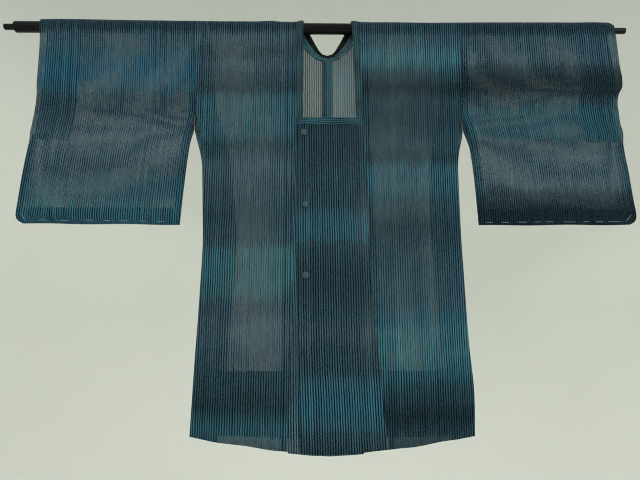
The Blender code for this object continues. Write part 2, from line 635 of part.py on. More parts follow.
def make_rod(material):
    """A round rod with a chamfer and a thinner stub at each end."""
    start, end = ROD_ENDS
    first, last = STUB_ENDS
    profile = [
        (first, 0.0), (first, STUB_RADIUS), (start, STUB_RADIUS),
        (start, ROD_RADIUS - ROD_CHAMFER), (start + ROD_CHAMFER, ROD_RADIUS),
        (end - ROD_CHAMFER, ROD_RADIUS), (end, ROD_RADIUS - ROD_CHAMFER),
        (end, STUB_RADIUS), (last, STUB_RADIUS), (last, 0.0),
    ]
    turned_profile("rod", profile, ROD_SIDES, material)


def make_buttons(material):
    """Three domed buttons covered with the coat's cloth, sitting on the over panel."""
    for number, place in enumerate(BUTTON_PLACES, 1):
        profile = [(height * BUTTON_HEIGHT, radius * BUTTON_RADIUS) for height, radius in BUTTON_DOME]
        button = turned_profile(f"button_{number}", profile, BUTTON_SIDES, material)
        z = place["z"]
        x = place["x"]
        seat = max(
            -body_point(x + dx, cloth_distance(z + dz, True), lap_lift(x + dx, z + dz))[1]
            for dx in BUTTON_SEAT for dz in BUTTON_SEAT
        )
        button.rotation_euler = (0.0, 0.0, -math.pi / 2)
        button.location = (x, -(seat + WALL / 2 + SEAM_GAP), z)


def main():
    for leftover in list(bpy.data.objects):
        bpy.data.objects.remove(leftover, do_unlink=True)
    finishes = {name: make_material(name) for name in FINISHES}
    make_rod(finishes["black_lacquer"])
    make_body("body_right", -1, finishes["gauze_teal"])
    make_body("body_left", 1, finishes["gauze_slate"])
    make_panels(finishes["gauze_navy"], finishes["gauze_slate"])
    make_sleeve("sleeve_right", -1, finishes["gauze_teal"])
    make_sleeve("sleeve_left", 1, finishes["gauze_slate"])
    make_collar(finishes["band_gauze"])
    make_buttons(finishes["covered_button"])


main()
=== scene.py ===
"""Looks of a sheer striped summer kimono coat, hung on a rod through both sleeves.

Metres, +Z up. The coat's front faces -Y and +X is the viewer's right. Every piece of gauze is one sheet,
folded as a maker folds it: its hems, turn-backs and seam allowances are the same sheet turned in, so they show
through as darker strips. Each sheet keeps a flat map named "cloth": u across the warp and v along it, in
metres. A distance s is measured along the cloth from the shoulder fold, and is negative down the front.
"""
import math

import bpy
import bmesh
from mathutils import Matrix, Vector


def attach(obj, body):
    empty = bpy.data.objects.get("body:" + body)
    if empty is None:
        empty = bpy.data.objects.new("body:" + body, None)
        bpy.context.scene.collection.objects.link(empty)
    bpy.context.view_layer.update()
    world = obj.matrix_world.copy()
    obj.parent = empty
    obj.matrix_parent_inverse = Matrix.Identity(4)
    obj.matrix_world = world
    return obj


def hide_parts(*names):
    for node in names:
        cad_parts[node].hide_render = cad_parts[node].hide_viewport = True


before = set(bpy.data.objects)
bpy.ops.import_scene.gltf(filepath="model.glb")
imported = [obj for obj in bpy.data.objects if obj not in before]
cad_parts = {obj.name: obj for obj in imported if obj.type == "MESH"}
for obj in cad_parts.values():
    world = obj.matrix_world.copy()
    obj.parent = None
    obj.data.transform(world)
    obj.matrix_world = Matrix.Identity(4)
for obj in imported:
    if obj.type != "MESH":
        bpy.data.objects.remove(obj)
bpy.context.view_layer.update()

# Rod and cloth sizes, as in the CAD. A table by side has -1 for the wearer's right and 1 for the left.
ROD_RADIUS = 0.0125
ROD_ENDS = (-0.7034, 0.6400)
STUB_RADIUS = 0.0068
STUB_ENDS = (-0.7284, 0.6810)
WALL = 0.0012
SEAM_GAP = 0.0003
ROD_FIT = 0.0005
DRAPE_RADIUS = ROD_RADIUS + ROD_FIT + WALL / 2
QUARTER_WRAP = DRAPE_RADIUS * math.pi / 2
CLOSED_HALF_GAP = (WALL + SEAM_GAP) / 2
SHOULDER = {-1: -0.2985, 1: 0.3010}
BACK_ARMHOLE_END = -0.240
SIDE_SEAM_START = -0.300
NECK_TOP_OF_BAND = -0.2215
NECK_BOTTOM = -0.2370
HEM_AT_SIDES = -0.880
HEM_DROP_FRONT = 0.025
HEM_DROP_BACK = 0.012
UNDER_PANEL_DROP = 0.0035
HEM_CURVE_POWER = 1.2
HEM_EASE_FROM = -0.560
BELLY_FRONT = 0.024
BELLY_BACK = 0.016
BELLY_POWER = 2.4
BELLY_GROWTH = 1.2
LAP_LIFT = 0.0022
LAP_OPEN_EXTRA = 0.0035
LAP_OPEN_HEIGHT = -0.430
LAP_OPEN_SPREAD = 0.110
LAP_OPEN_WIDTH = 0.030
BUTTON_RADIUS = 0.0073
BUTTON_PLACES = [(-0.0515, -0.2565), (-0.0464, -0.4160), (-0.0457, -0.5638)]
SLEEVE_BOTTOM = -0.4520
SLEEVE_BOTTOM_SLANT = 0.0020
SLEEVE_CORNER_START = -0.431
CUFF_CLOSE_START = -0.247
CUFF_CLOSE_DEPTH = 0.028
CUFF_CLOSE_SPAN = 0.050
SLEEVE_FULLNESS = 0.0030

# Layers of cloth within the wall: the outermost, the step to the next, and the thickness of one layer
MAIN_LIFT = 0.00050
LAYER_STEP = 0.00020
SHELL = 0.00012
FOLD_HALF = 0.0004
BAND_LIFT = 0.0003
BAND_HALF_WALL = 0.00055
FACING_DEPTH = 0.00070
FACING_HALF_WALL = 0.00022

# Turned-in cloth: selvedges of the body lengths, allowances, hems and turn-backs
SELVEDGE = {-1: 0.333, 1: 0.343}
CENTRE_BACK_ALLOWANCE = 0.0118
NECK_ALLOWANCE = 0.004
ALLOWANCE_EASE = 0.012
HEM_TOP_FRONT = -0.752
HEM_TOP_BACK = -0.757
SLEEVE_WIDTH = 0.350
SLEEVE_ALLOWANCE = 0.015
CUFF_TURN_BACK = 0.079
SLEEVE_EASE_FROM = -0.335
PANEL_WIDTH = 0.15
CUFF_TURN_BACK_END = -0.266
SLEEVE_FOLD_TOP = {-1: -0.4174, 1: -0.4190}

# Mesh spacing
STEP_ACROSS = 0.0042
STEP_ALONG = 0.0068
SLEEVE_STEP_ALONG = 0.0058
STEP_ROUND_ROD = 0.0032
THREAD_SIDES = 8

# Edges, each row a height and the edge's x there
SIDE_FRONT = {
    -1: [
        (-0.206, -0.2875), (-0.245, -0.2797), (-0.268, -0.2763), (-0.300, -0.2727), (-0.384, -0.2682),
        (-0.500, -0.2633), (-0.604, -0.2657), (-0.754, -0.2709), (-0.880, -0.2743),
    ],
    1: [
        (-0.206, 0.2935), (-0.237, 0.2895), (-0.265, 0.2860), (-0.300, 0.2831), (-0.448, 0.2823),
        (-0.562, 0.2844), (-0.693, 0.2878), (-0.800, 0.2938), (-0.880, 0.2910),
    ],
}
SIDE_BACK = {
    -1: [
        (-0.240, -0.2930), (-0.258, -0.2880), (-0.276, -0.2825), (-0.300, -0.2757), (-0.330, -0.2712),
        *SIDE_FRONT[-1][4:],
    ],
    1: [
        (-0.240, 0.3000), (-0.258, 0.2965), (-0.276, 0.2915), (-0.300, 0.2861), (-0.330, 0.2834),
        *SIDE_FRONT[1][4:],
    ],
}
FRONT_EDGE = {
    -1: [(0.000, -0.0693), (-0.2370, -0.0693), (-0.400, -0.0722), (-0.650, -0.0755), (-0.905, -0.0788)],
    1: [
        (0.000, 0.0697), (-0.100, 0.0740), (-0.2370, 0.0772), (-0.339, 0.0806), (-0.510, 0.0848),
        (-0.613, 0.0912), (-0.712, 0.0988), (-0.808, 0.1068), (-0.905, 0.1156),
    ],
}
OVER_FREE_EDGE = [
    (-0.2370, -0.0678), (-0.415, -0.0652), (-0.572, -0.0630), (-0.712, -0.0606), (-0.808, -0.0566),
    (-0.905, -0.0536),
]
UNDER_FREE_EDGE = [(-0.2215, 0.0440), (-0.400, 0.0520), (-0.650, 0.0610), (-0.905, 0.0665)]
NECK_INNER = {
    -1: [(0.000, -0.0540), (-0.100, -0.0555), (-0.2215, -0.0540)],
    1: [(0.000, 0.0544), (-0.060, 0.0575), (-0.155, 0.0598), (-0.2215, 0.0604)],
}
SLEEVE_OUTER = {
    -1: [
        (0.000, -0.6440), (-0.028, -0.6397), (-0.060, -0.6384), (-0.140, -0.6378), (-0.175, -0.6360),
        (-0.208, -0.6376), (-0.228, -0.6395), (-0.257, -0.6446), (-0.292, -0.6494), (-0.333, -0.6536),
        (-0.368, -0.6562), (-0.403, -0.6583), (-0.431, -0.6600), (-0.440, -0.6578), (-0.448, -0.6500),
        (-0.452, -0.6420),
    ],
    1: [
        (0.000, 0.6490), (-0.035, 0.6512), (-0.085, 0.6530), (-0.105, 0.6547), (-0.123, 0.6563),
        (-0.140, 0.6554), (-0.158, 0.6466), (-0.175, 0.6416), (-0.193, 0.6406), (-0.2105, 0.6421),
        (-0.228, 0.6437), (-0.2456, 0.6476), (-0.298, 0.6511), (-0.333, 0.6546), (-0.368, 0.6568),
        (-0.403, 0.6592), (-0.431, 0.6615), (-0.440, 0.6600), (-0.448, 0.6540), (-0.452, 0.6460),
    ],
}
SLEEVE_INNER = {
    -1: [(-0.206, -0.2875), (-0.240, -0.2960), (-0.273, -0.3008), (-0.349, -0.3075), (-0.452, -0.3135)],
    1: [(-0.206, 0.2935), (-0.240, 0.3050), (-0.286, 0.3126), (-0.360, 0.3182), (-0.452, 0.3215)],
}
SLEEVE_BACK_INNER = {
    -1: [(-0.240, -0.2930), *SLEEVE_INNER[-1][2:]],
    1: [(-0.240, 0.3000), *SLEEVE_INNER[1][2:]],
}
# Back neck band, from the shoulder fold to its middle: s and x of its inner edge, then of its outer edge
BACK_NECK = [
    (0.0000, 0.0542, 0.000, 0.0697), (0.0140, 0.0468, 0.021, 0.0672), (0.0270, 0.0395, 0.040, 0.0618),
    (0.0410, 0.0326, 0.056, 0.0535), (0.0550, 0.0252, 0.070, 0.0425), (0.0670, 0.0184, 0.081, 0.0300),
    (0.0755, 0.0110, 0.089, 0.0165), (0.0785, 0.0000, 0.093, 0.0000),
]
BACK_NECK_FOOT = BACK_NECK[-1][2]
MITRE_TOP = -0.190

# How far the cloth stands off the rod's top: x along the rod, and the height there
SHOULDER_PUFF = [
    (-0.640, 0.0036), (-0.595, 0.0045), (-0.523, 0.0038), (-0.451, 0.0027), (-0.380, 0.0020),
    (-0.308, 0.0014), (-0.236, 0.0010), (-0.164, 0.0013), (-0.128, 0.0036), (-0.100, 0.0006),
    (-0.072, 0.0010), (-0.057, 0.0045), (0.057, 0.0045), (0.072, 0.0026), (0.105, 0.0009), (0.141, 0.0017),
    (0.213, 0.0009), (0.284, 0.0018), (0.356, 0.0031), (0.428, 0.0038), (0.500, 0.0043), (0.572, 0.0047),
    (0.608, 0.0056), (0.625, 0.0052), (0.641, 0.0050), (0.6495, -0.0035),
]

# Width of the front seam allowance that is turned in on each body length, by height
FRONT_ALLOWANCE = {
    -1: [(0.000, 0.0225), (-0.400, 0.0180), (-0.905, 0.0130)],
    1: [(0.000, 0.0200), (-0.300, 0.0130), (-0.905, 0.0140)],
}

# Soft folds: x at the top and at the foot, the heights of both, half width, and how far it stands out
FOLDS_FRONT = [
    (-0.235, -0.215, -0.30, -0.95, 0.030, 0.0045), (-0.150, -0.165, -0.45, -0.95, 0.034, -0.0040),
    (-0.105, -0.110, -0.35, -0.95, 0.026, 0.0038), (0.020, 0.010, -0.40, -0.95, 0.040, -0.0030),
    (0.150, 0.165, -0.32, -0.95, 0.030, 0.0046), (0.205, 0.225, -0.42, -0.95, 0.028, -0.0038),
]
FOLDS_BACK = [
    (-0.190, -0.205, -0.28, -0.95, 0.036, 0.0050), (-0.085, -0.095, -0.40, -0.95, 0.034, -0.0045),
    (0.060, 0.075, -0.30, -0.95, 0.038, 0.0048), (0.175, 0.190, -0.38, -0.95, 0.034, -0.0042),
]
FOLDS_SLEEVE = {
    -1: [(-0.420, -0.400, -0.10, -0.42, 0.036, 0.0026), (-0.545, -0.530, -0.16, -0.42, 0.040, -0.0020)],
    1: [(0.430, 0.410, -0.14, -0.42, 0.036, -0.0020), (0.520, 0.545, -0.06, -0.34, 0.032, 0.0028)],
}

# Finer ripples in the same form, which only the looks have
RIPPLES_FRONT = [
    (-0.255, -0.250, -0.42, -0.95, 0.010, 0.0012), (-0.232, -0.236, -0.02, -0.26, 0.013, 0.0010),
    (-0.200, -0.188, -0.22, -0.74, 0.012, -0.0013), (-0.176, -0.182, -0.50, -0.95, 0.012, 0.0014),
    (-0.158, -0.150, -0.03, -0.34, 0.014, -0.0011), (-0.128, -0.136, -0.20, -0.62, 0.010, 0.0011),
    (-0.088, -0.092, -0.30, -0.95, 0.008, -0.0008), (-0.040, -0.036, -0.25, -0.95, 0.013, 0.0012),
    (-0.006, -0.012, -0.48, -0.95, 0.012, -0.0013), (0.046, 0.056, -0.30, -0.95, 0.014, 0.0014),
    (0.072, 0.088, -0.45, -0.95, 0.009, -0.0010), (0.110, 0.118, -0.02, -0.30, 0.012, 0.0010),
    (0.126, 0.140, -0.25, -0.95, 0.012, -0.0014), (0.182, 0.192, -0.20, -0.82, 0.012, 0.0013),
    (0.228, 0.222, -0.03, -0.32, 0.014, -0.0011), (0.247, 0.253, -0.34, -0.95, 0.012, 0.0015),
    (0.268, 0.269, -0.56, -0.95, 0.009, -0.0010),
]
RIPPLES_BACK = [
    (-0.250, -0.246, -0.36, -0.95, 0.012, -0.0013), (-0.222, -0.212, -0.03, -0.40, 0.014, 0.0012),
    (-0.165, -0.158, -0.30, -0.95, 0.013, 0.0015), (-0.128, -0.120, -0.05, -0.55, 0.014, -0.0012),
    (-0.052, -0.046, -0.24, -0.95, 0.012, 0.0013), (0.022, 0.028, -0.46, -0.95, 0.013, -0.0014),
    (0.098, 0.106, -0.16, -0.78, 0.012, 0.0014), (0.140, 0.146, -0.04, -0.42, 0.013, -0.0011),
    (0.214, 0.224, -0.30, -0.95, 0.014, 0.0016), (0.256, 0.258, -0.50, -0.95, 0.010, -0.0010),
]
RIPPLES_SLEEVE = {
    -1: [
        (-0.352, -0.346, -0.06, -0.40, 0.013, -0.0013), (-0.455, -0.470, -0.20, -0.44, 0.014, 0.0014),
        (-0.500, -0.492, -0.03, -0.30, 0.012, -0.0012), (-0.585, -0.590, -0.05, -0.34, 0.011, 0.0013),
        (-0.612, -0.618, -0.20, -0.44, 0.010, -0.0010),
    ],
    1: [
        (0.350, 0.357, -0.08, -0.43, 0.013, 0.0013), (0.394, 0.386, -0.02, -0.30, 0.012, -0.0011),
        (0.470, 0.478, -0.19, -0.44, 0.014, -0.0014), (0.588, 0.580, -0.03, -0.26, 0.012, 0.0013),
        (0.612, 0.622, -0.24, -0.44, 0.011, -0.0011),
    ],
}

# Creases across the sleeves: both ends as (x, z), width, and how far it stands out
CREASES_SLEEVE = {
    -1: [
        ((-0.560, -0.1750), (-0.646, -0.1580), 0.0080, -0.0016),
        ((-0.585, -0.2150), (-0.650, -0.2300), 0.0085, 0.0018),
        ((-0.330, -0.2400), (-0.430, -0.2150), 0.0065, 0.0013),
    ],
    1: [
        ((0.384, -0.1565), (0.560, -0.1400), 0.0050, 0.0019),
        ((0.425, -0.1780), (0.530, -0.1530), 0.0055, -0.0016),
        ((0.560, -0.1830), (0.656, -0.1500), 0.0080, -0.0034),
        ((0.585, -0.1280), (0.662, -0.1180), 0.0090, 0.0026),
        ((0.600, -0.2050), (0.652, -0.1960), 0.0080, 0.0018),
    ],
}

# Seam puckers: height, reach from the seam, length of one, and the drop below the rod over which they start
PUCKER_HEIGHT = 0.00042
PUCKER_REACH = 0.0075
PUCKER_LENGTH = 0.0235
PUCKER_START = 0.06

# Dyes of the gauze's dense stripes, each with how closely the gauze covers there, from 0 to 1
# Painted shade: a near-black for the inside of the back neck band, which lies in shade
SHADE_BLACK = (0.003, 0.006, 0.005, 1.0)
INK = (0.0065, 0.026, 0.036, 1.0)
DEEP = (0.016, 0.052, 0.070, 0.8)
NAVY = (0.0225, 0.070, 0.094, 0.3)
MIST = (0.0225, 0.070, 0.094, 0.0)
SLATE = (0.036, 0.088, 0.120, 0.15)
STEEL = (0.048, 0.110, 0.146, 0.0)
TEAL = (0.028, 0.112, 0.146, 0.35)
SEA = (0.038, 0.145, 0.175, 0.1)
BLUE = (0.022, 0.120, 0.182, 0.4)
# Painted highlight: the pale colour of the facing's top edge, where the fold catches the light
PAINTED_EDGE_HIGHLIGHT = (0.30, 0.38, 0.40)
SHEEN_TINT = (0.70, 0.86, 1.0)

# Dye along each length of cloth, by distance from the shoulder fold, negative down the front. The dark rows
# on either side of 0 in the body and sleeve lengths are painted shade over the rod's top, and the near-black
# rows in the middle of the neck band are painted shade inside the back neck.
DYES = {
    "body_right": [
        (-1.05, INK), (-0.92, NAVY), (-0.885, TEAL), (-0.84, DEEP), (-0.79, NAVY), (-0.75, SLATE),
        (-0.70, STEEL), (-0.645, SLATE), (-0.61, SEA), (-0.54, SEA), (-0.512, SLATE), (-0.46, NAVY),
        (-0.407, SLATE), (-0.354, STEEL), (-0.302, NAVY), (-0.276, TEAL), (-0.20, TEAL), (-0.17, DEEP),
        (-0.145, NAVY), (-0.118, SLATE), (-0.09, MIST), (-0.045, STEEL), (-0.03, DEEP), (0.02, DEEP),
        (0.09, MIST), (0.20, MIST), (0.42, TEAL), (0.60, SLATE), (0.72, SEA), (0.84, SLATE), (0.93, NAVY),
        (1.05, DEEP),
    ],
    "body_left": [
        (-1.05, INK), (-0.90, DEEP), (-0.86, INK), (-0.82, DEEP), (-0.775, TEAL), (-0.74, SEA),
        (-0.70, SEA), (-0.67, TEAL), (-0.64, SLATE), (-0.60, SLATE), (-0.54, MIST), (-0.487, DEEP),
        (-0.435, NAVY), (-0.39, TEAL), (-0.355, TEAL), (-0.33, DEEP), (-0.30, NAVY), (-0.25, DEEP),
        (-0.20, DEEP), (-0.17, INK), (-0.145, DEEP), (-0.10, SEA), (-0.05, SLATE), (-0.03, DEEP),
        (0.02, DEEP), (0.14, TEAL), (0.22, TEAL), (0.34, NAVY), (0.48, SLATE), (0.60, TEAL), (0.74, SEA),
        (1.05, DEEP),
    ],
    "panel_over": [
        (-1.00, INK), (-0.93, DEEP), (-0.90, NAVY), (-0.87, TEAL), (-0.845, BLUE), (-0.80, TEAL),
        (-0.77, NAVY), (-0.735, NAVY), (-0.70, SLATE), (-0.66, NAVY), (-0.61, DEEP), (-0.575, DEEP),
        (-0.53, NAVY), (-0.50, TEAL), (-0.47, TEAL), (-0.43, NAVY), (-0.40, NAVY), (-0.37, NAVY),
        (-0.32, DEEP), (-0.28, DEEP), (-0.22, INK),
    ],
    "panel_under": [
        (-1.00, SLATE), (-0.93, STEEL), (-0.87, STEEL), (-0.80, SLATE), (-0.70, NAVY), (-0.55, TEAL),
        (-0.40, SLATE), (-0.22, NAVY),
    ],
    "sleeve_right": [
        (-0.50, NAVY), (-0.47, TEAL), (-0.44, SEA), (-0.407, TEAL), (-0.38, TEAL), (-0.355, SLATE),
        (-0.33, STEEL), (-0.276, STEEL), (-0.25, SLATE), (-0.223, NAVY), (-0.197, NAVY), (-0.17, TEAL),
        (-0.145, BLUE), (-0.12, BLUE), (-0.09, TEAL), (-0.065, STEEL), (-0.045, STEEL), (-0.03, DEEP),
        (0.03, DEEP), (0.08, NAVY), (0.14, SEA), (0.20, SLATE), (0.28, STEEL), (0.36, SLATE), (0.44, SEA),
        (0.50, NAVY),
    ],
    "sleeve_left": [
        (-0.50, INK), (-0.44, INK), (-0.41, DEEP), (-0.385, STEEL), (-0.33, STEEL), (-0.30, SLATE),
        (-0.276, TEAL), (-0.223, TEAL), (-0.20, NAVY), (-0.175, INK), (-0.145, INK), (-0.125, DEEP),
        (-0.10, STEEL), (-0.05, STEEL), (-0.03, DEEP), (0.04, INK), (0.09, NAVY), (0.15, SLATE),
        (0.23, TEAL), (0.32, STEEL), (0.41, SLATE), (0.50, DEEP),
    ],
    "band_neck": [
        (-0.36, NAVY), (-0.31, TEAL), (-0.28, NAVY), (-0.22, TEAL), (-0.19, NAVY), (-0.13, NAVY),
        (-0.105, DEEP), (-0.08, SHADE_BLACK), (0.08, SHADE_BLACK), (0.105, DEEP), (0.14, NAVY), (0.20, TEAL),
        (0.23, NAVY), (0.29, TEAL), (0.32, NAVY), (0.36, TEAL),
    ],
    "band_level": [(-0.08, NAVY), (-0.03, TEAL), (0.02, NAVY), (0.08, TEAL)],
    "facing": [(-0.10, TEAL), (-0.05, SEA), (-0.01, TEAL), (0.02, NAVY), (0.05, STEEL), (0.10, SLATE)],
}

# Red, green and blue scales on each length's dyes. The sleeves' low scales are painted shade: they darken
# the sleeves, which the key light reaches more brightly
TINTS_AND_SHADE = {
    "body_right": (1.00, 0.96, 1.00), "body_left": (1.08, 1.10, 1.15),
    "panel_over": (1.25, 1.08, 1.12), "panel_under": (1.10, 1.10, 1.10),
    "sleeve_right": (0.68, 0.82, 0.92), "sleeve_left": (0.74, 0.86, 0.93),
    "band_neck": (0.83, 0.66, 0.64), "band_level": (0.80, 0.80, 0.81), "facing": (1.0, 1.0, 1.0),
}

# Stripes of the gauze
STRIPE = 0.0050
GAUZE_OPACITY = {"open": (0.36, 0.54), "dense": (0.785, 0.875)}
SLEEVE_OPACITY = {"open": (0.32, 0.54), "dense": (0.765, 0.875)}
BAND_OPACITY = {"open": (0.90, 0.90), "dense": (0.97, 0.97)}
THREAD_PITCH = 0.00045
WEFT_PITCH = 0.0011

# Running stitches on each sleeve, each from (x, z) to (x, z)
STITCHES = {
    -1: [
        ((-0.610, -0.4450), (-0.594, -0.4450)), ((-0.565, -0.4455), (-0.547, -0.4455)),
        ((-0.512, -0.4450), (-0.494, -0.4450)), ((-0.474, -0.4460), (-0.459, -0.4460)),
        ((-0.438, -0.4460), (-0.420, -0.4465)), ((-0.398, -0.4465), (-0.384, -0.4465)),
        ((-0.362, -0.4470), (-0.344, -0.4470)), ((-0.6495, -0.4300), (-0.6385, -0.4440)),
    ],
    1: [
        ((0.336, -0.4475), (0.352, -0.4475)), ((0.370, -0.4475), (0.386, -0.4475)),
        ((0.404, -0.4470), (0.424, -0.4470)), ((0.438, -0.4470), (0.454, -0.4465)),
        ((0.464, -0.4465), (0.482, -0.4465)), ((0.502, -0.4465), (0.530, -0.4465)),
        ((0.545, -0.4460), (0.558, -0.4460)), ((0.572, -0.4460), (0.588, -0.4460)),
        ((0.598, -0.4460), (0.630, -0.4460)), ((0.6370, -0.4455), (0.6500, -0.4310)),
    ],
}

# Soft lights: name, place, size, power and colour, all aimed at one point
LIGHTS = [
    ("key", (-1.30, -2.60, 1.10), 2.2, 62.0, (1.0, 0.985, 0.96)),
    ("fill", (1.90, -2.20, 0.20), 2.0, 30.0, (0.96, 0.98, 1.0)),
    ("back", (0.60, 2.60, 1.30), 2.4, 46.0, (1.0, 0.99, 0.97)),
    ("top", (0.0, 0.3, 2.50), 2.6, 16.0, (1.0, 1.0, 0.99)),
]
LIGHTS_AIM = (0, 0, -0.45)

edge_curves = {}


# Edges and the hanging surface

def edge_at(table, value):
    """The edge's x at a height, on a smooth curve through the table's rows."""
    if id(table) not in edge_curves:
        rows = sorted(table)
        slopes = [(after[1] - before[1]) / (after[0] - before[0]) for before, after in zip(rows, rows[1:])]
        edge_curves[id(table)] = (rows, [gentle_slope(slopes, n) for n in range(len(rows))])
    rows, tangents = edge_curves[id(table)]
    if value <= rows[0][0]:
        return rows[0][1]
    if value >= rows[-1][0]:
        return rows[-1][1]
    i = next(n for n in range(len(rows) - 1) if value <= rows[n + 1][0])
    (start, x), (end, next_x) = rows[i], rows[i + 1]
    step = end - start
    t = (value - start) / step
    return (
        x * (1 + 2 * t) * (1 - t) ** 2
        + next_x * t * t * (3 - 2 * t)
        + step * t * (1 - t) * (tangents[i] * (1 - t) - tangents[i + 1] * t)
    )


def gentle_slope(slopes, i):
    """Tangent at row i that never overshoots: the harmonic mean of its neighbours, or flat at a turn."""
    if i == 0:
        return slopes[0]
    if i == len(slopes):
        return slopes[-1]
    before, after = slopes[i - 1], slopes[i]
    if before * after <= 0:
        return 0.0
    return 2 * before * after / (before + after)


def side_of(x):
    """-1 on the wearer's right half, and 1 on the left."""
    return -1 if x < 0 else 1


def side_edge(table, z):
    """x of a side or sleeve edge: a straight armhole seam from the shoulder, then the table's own curve."""
    end_z, end_x = table[0]
    if z > end_z:
        shoulder = SHOULDER[side_of(end_x)]
        return shoulder + (end_x - shoulder) * min(1.0, z / end_z)
    return edge_at(table, z)


def neck_station(position):
    """Inner and outer points of the back neck band, as (x, s), at a position counted in rows of its table."""
    first = min(int(position), len(BACK_NECK) - 2)
    share = position - first
    pairs = zip(BACK_NECK[first], BACK_NECK[first + 1])
    inner_s, inner_x, outer_s, outer_x = (a + (b - a) * share for a, b in pairs)
    return (inner_x, inner_s), (outer_x, outer_s)


def neckline_half_width(s):
    """Half width of the body's back neckline at a distance s, nothing below its foot."""
    for (_, _, upper_s, upper_x), (_, _, lower_s, lower_x) in zip(BACK_NECK, BACK_NECK[1:]):
        if s <= lower_s:
            share = (s - upper_s) / (lower_s - upper_s)
            return upper_x + (lower_x - upper_x) * share
    return 0.0


def ease(t):
    """0 to 1 with level ends."""
    t = min(1.0, max(0.0, t))
    return t * t * (3 - 2 * t)


def relief(folds, x, z):
    """How far the soft folds stand out at one place of a hanging wall."""
    total = 0.0
    for x_top, x_foot, top, foot, half_width, out in folds:
        run = (z - top) / (foot - top)
        if run <= 0.0:
            continue
        middle = x_top + (x_foot - x_top) * run
        across = (x - middle) / half_width
        fade_out = 1.0 if foot < HEM_AT_SIDES else ease((1.0 - run) * 3)
        total += out * ease(run * 1.6) * fade_out * math.exp(-across * across)
    return total


def crease(creases, x, z):
    """How far the slanting creases stand out at one place of a sleeve."""
    total = 0.0
    for first, last, width, out in creases:
        start = Vector(first)
        along = Vector(last) - start
        share = (Vector((x, z)) - start).dot(along) / along.length_squared
        if 0.0 < share < 1.0:
            away = (Vector((x, z)) - start - along * share).length / width
            total += out * ease(share * 4) * ease((1 - share) * 4) * math.exp(-away * away)
    return total


def pucker(distance, along):
    """Small waves that sewing draws up beside a seam."""
    drift = math.tau * along / PUCKER_LENGTH + 1.7 * math.sin(along * 47.0) + 0.9 * math.sin(along * 131.0)
    return PUCKER_HEIGHT * math.sin(drift) * math.exp(-abs(distance) / PUCKER_REACH)


def body_edge_gap(z):
    """Half the space between front and back at the body's side edge."""
    open_part = DRAPE_RADIUS + (CLOSED_HALF_GAP - DRAPE_RADIUS) * z / SLEEVE_BOTTOM
    if z > BACK_ARMHOLE_END:
        return open_part
    closing = ease((BACK_ARMHOLE_END - z) / (BACK_ARMHOLE_END - SIDE_SEAM_START))
    return open_part + (CLOSED_HALF_GAP - open_part) * closing


def body_side(x, z, front):
    """x of the side edge on the same side as x."""
    return side_edge((SIDE_FRONT if front else SIDE_BACK)[side_of(x)], z)


def body_out(x, z, front):
    """How far the front or back wall hangs from the middle plane."""
    belly = BELLY_FRONT if front else BELLY_BACK
    middle = DRAPE_RADIUS + belly * (min(1.0, z / HEM_AT_SIDES)) ** BELLY_GROWTH
    side = body_edge_gap(z)
    seam_x = edge_at(FRONT_EDGE[side_of(x)], z) if front else 0.0
    across = min(1.0, abs(x / body_side(x, z, front)))
    lens = 1 - across ** BELLY_POWER
    folds, ripples = (FOLDS_FRONT, RIPPLES_FRONT) if front else (FOLDS_BACK, RIPPLES_BACK)
    waves = relief(folds, x, z) + relief(ripples, x, z)
    sewn = pucker(x - seam_x, z) * ease(-z / PUCKER_START)
    return side + (middle - side) * lens + waves * min(1.0, lens * 3) + sewn * min(1.0, lens * 6)


def hang_height(s):
    """Height of the cloth at a distance s from the shoulder fold, below the rod's axis."""
    return -(abs(s) - QUARTER_WRAP)


def cloth_distance(z, front):
    """The distance s from the shoulder fold of a hanging height z, negative down the front."""
    s = QUARTER_WRAP - z
    return -s if front else s


def over_rod(x, s, lift):
    """A point of cloth on the part that wraps the rod, where it stands a little off the rod's top."""
    angle = s / DRAPE_RADIUS
    radius = DRAPE_RADIUS + lift
    puff = edge_at(SHOULDER_PUFF, x) * math.cos(angle) ** 1.5
    return (x, radius * math.sin(angle), radius * math.cos(angle) + puff)


def body_point(x, s, lift=0.0):
    """Lays one point of the flat body cloth over the rod, lifted off its own surface by lift."""
    if abs(s) <= QUARTER_WRAP:
        return over_rod(x, s, lift)
    z = hang_height(s)
    out = body_out(x, min(z, 0.0), s < 0) + lift
    return (x, -out if s < 0 else out, z)


def hem_shift(x, z, drop):
    """Lowers the rows near the hem towards the middle, where the hem hangs lower."""
    share = ease((HEM_EASE_FROM - z) / (HEM_EASE_FROM - HEM_AT_SIDES))
    half = abs(body_side(x, HEM_AT_SIDES, True))
    return -drop * share * (1 - min(1.0, abs(x) / half) ** HEM_CURVE_POWER)


def sleeve_out(x, z, side, front):
    """How far a sleeve wall hangs from the middle plane."""
    outer = edge_at(SLEEVE_OUTER[side], max(z, SLEEVE_CORNER_START))
    inner = side_edge(SLEEVE_INNER[side], z)
    across = min(1.0, max(0.0, (x - inner) / (outer - inner)))
    down = min(1.0, z / SLEEVE_BOTTOM)
    gap = DRAPE_RADIUS + (CLOSED_HALF_GAP - DRAPE_RADIUS) * down
    hollow = math.sin(math.pi * across) * math.sin(math.pi * down)
    face = 1.0 if front else -0.7
    folds = relief(FOLDS_SLEEVE[side], x, z) * hollow * face
    ripples = relief(RIPPLES_SLEEVE[side], x, z) * min(1.0, hollow * 2.5)
    bent = crease(CREASES_SLEEVE[side], x, z) * face
    sewn = pucker(z - SLEEVE_BOTTOM, x) + pucker(x - inner, z) * ease(-z / PUCKER_START)
    gap += SLEEVE_FULLNESS * hollow + folds + ripples * face + bent + sewn * (1 if front else -1)
    closed = ease((CUFF_CLOSE_START - z) / CUFF_CLOSE_DEPTH) * ease(1 - abs(outer - x) / CUFF_CLOSE_SPAN)
    gap = gap + (CLOSED_HALF_GAP - gap) * closed
    return max(gap, CLOSED_HALF_GAP)


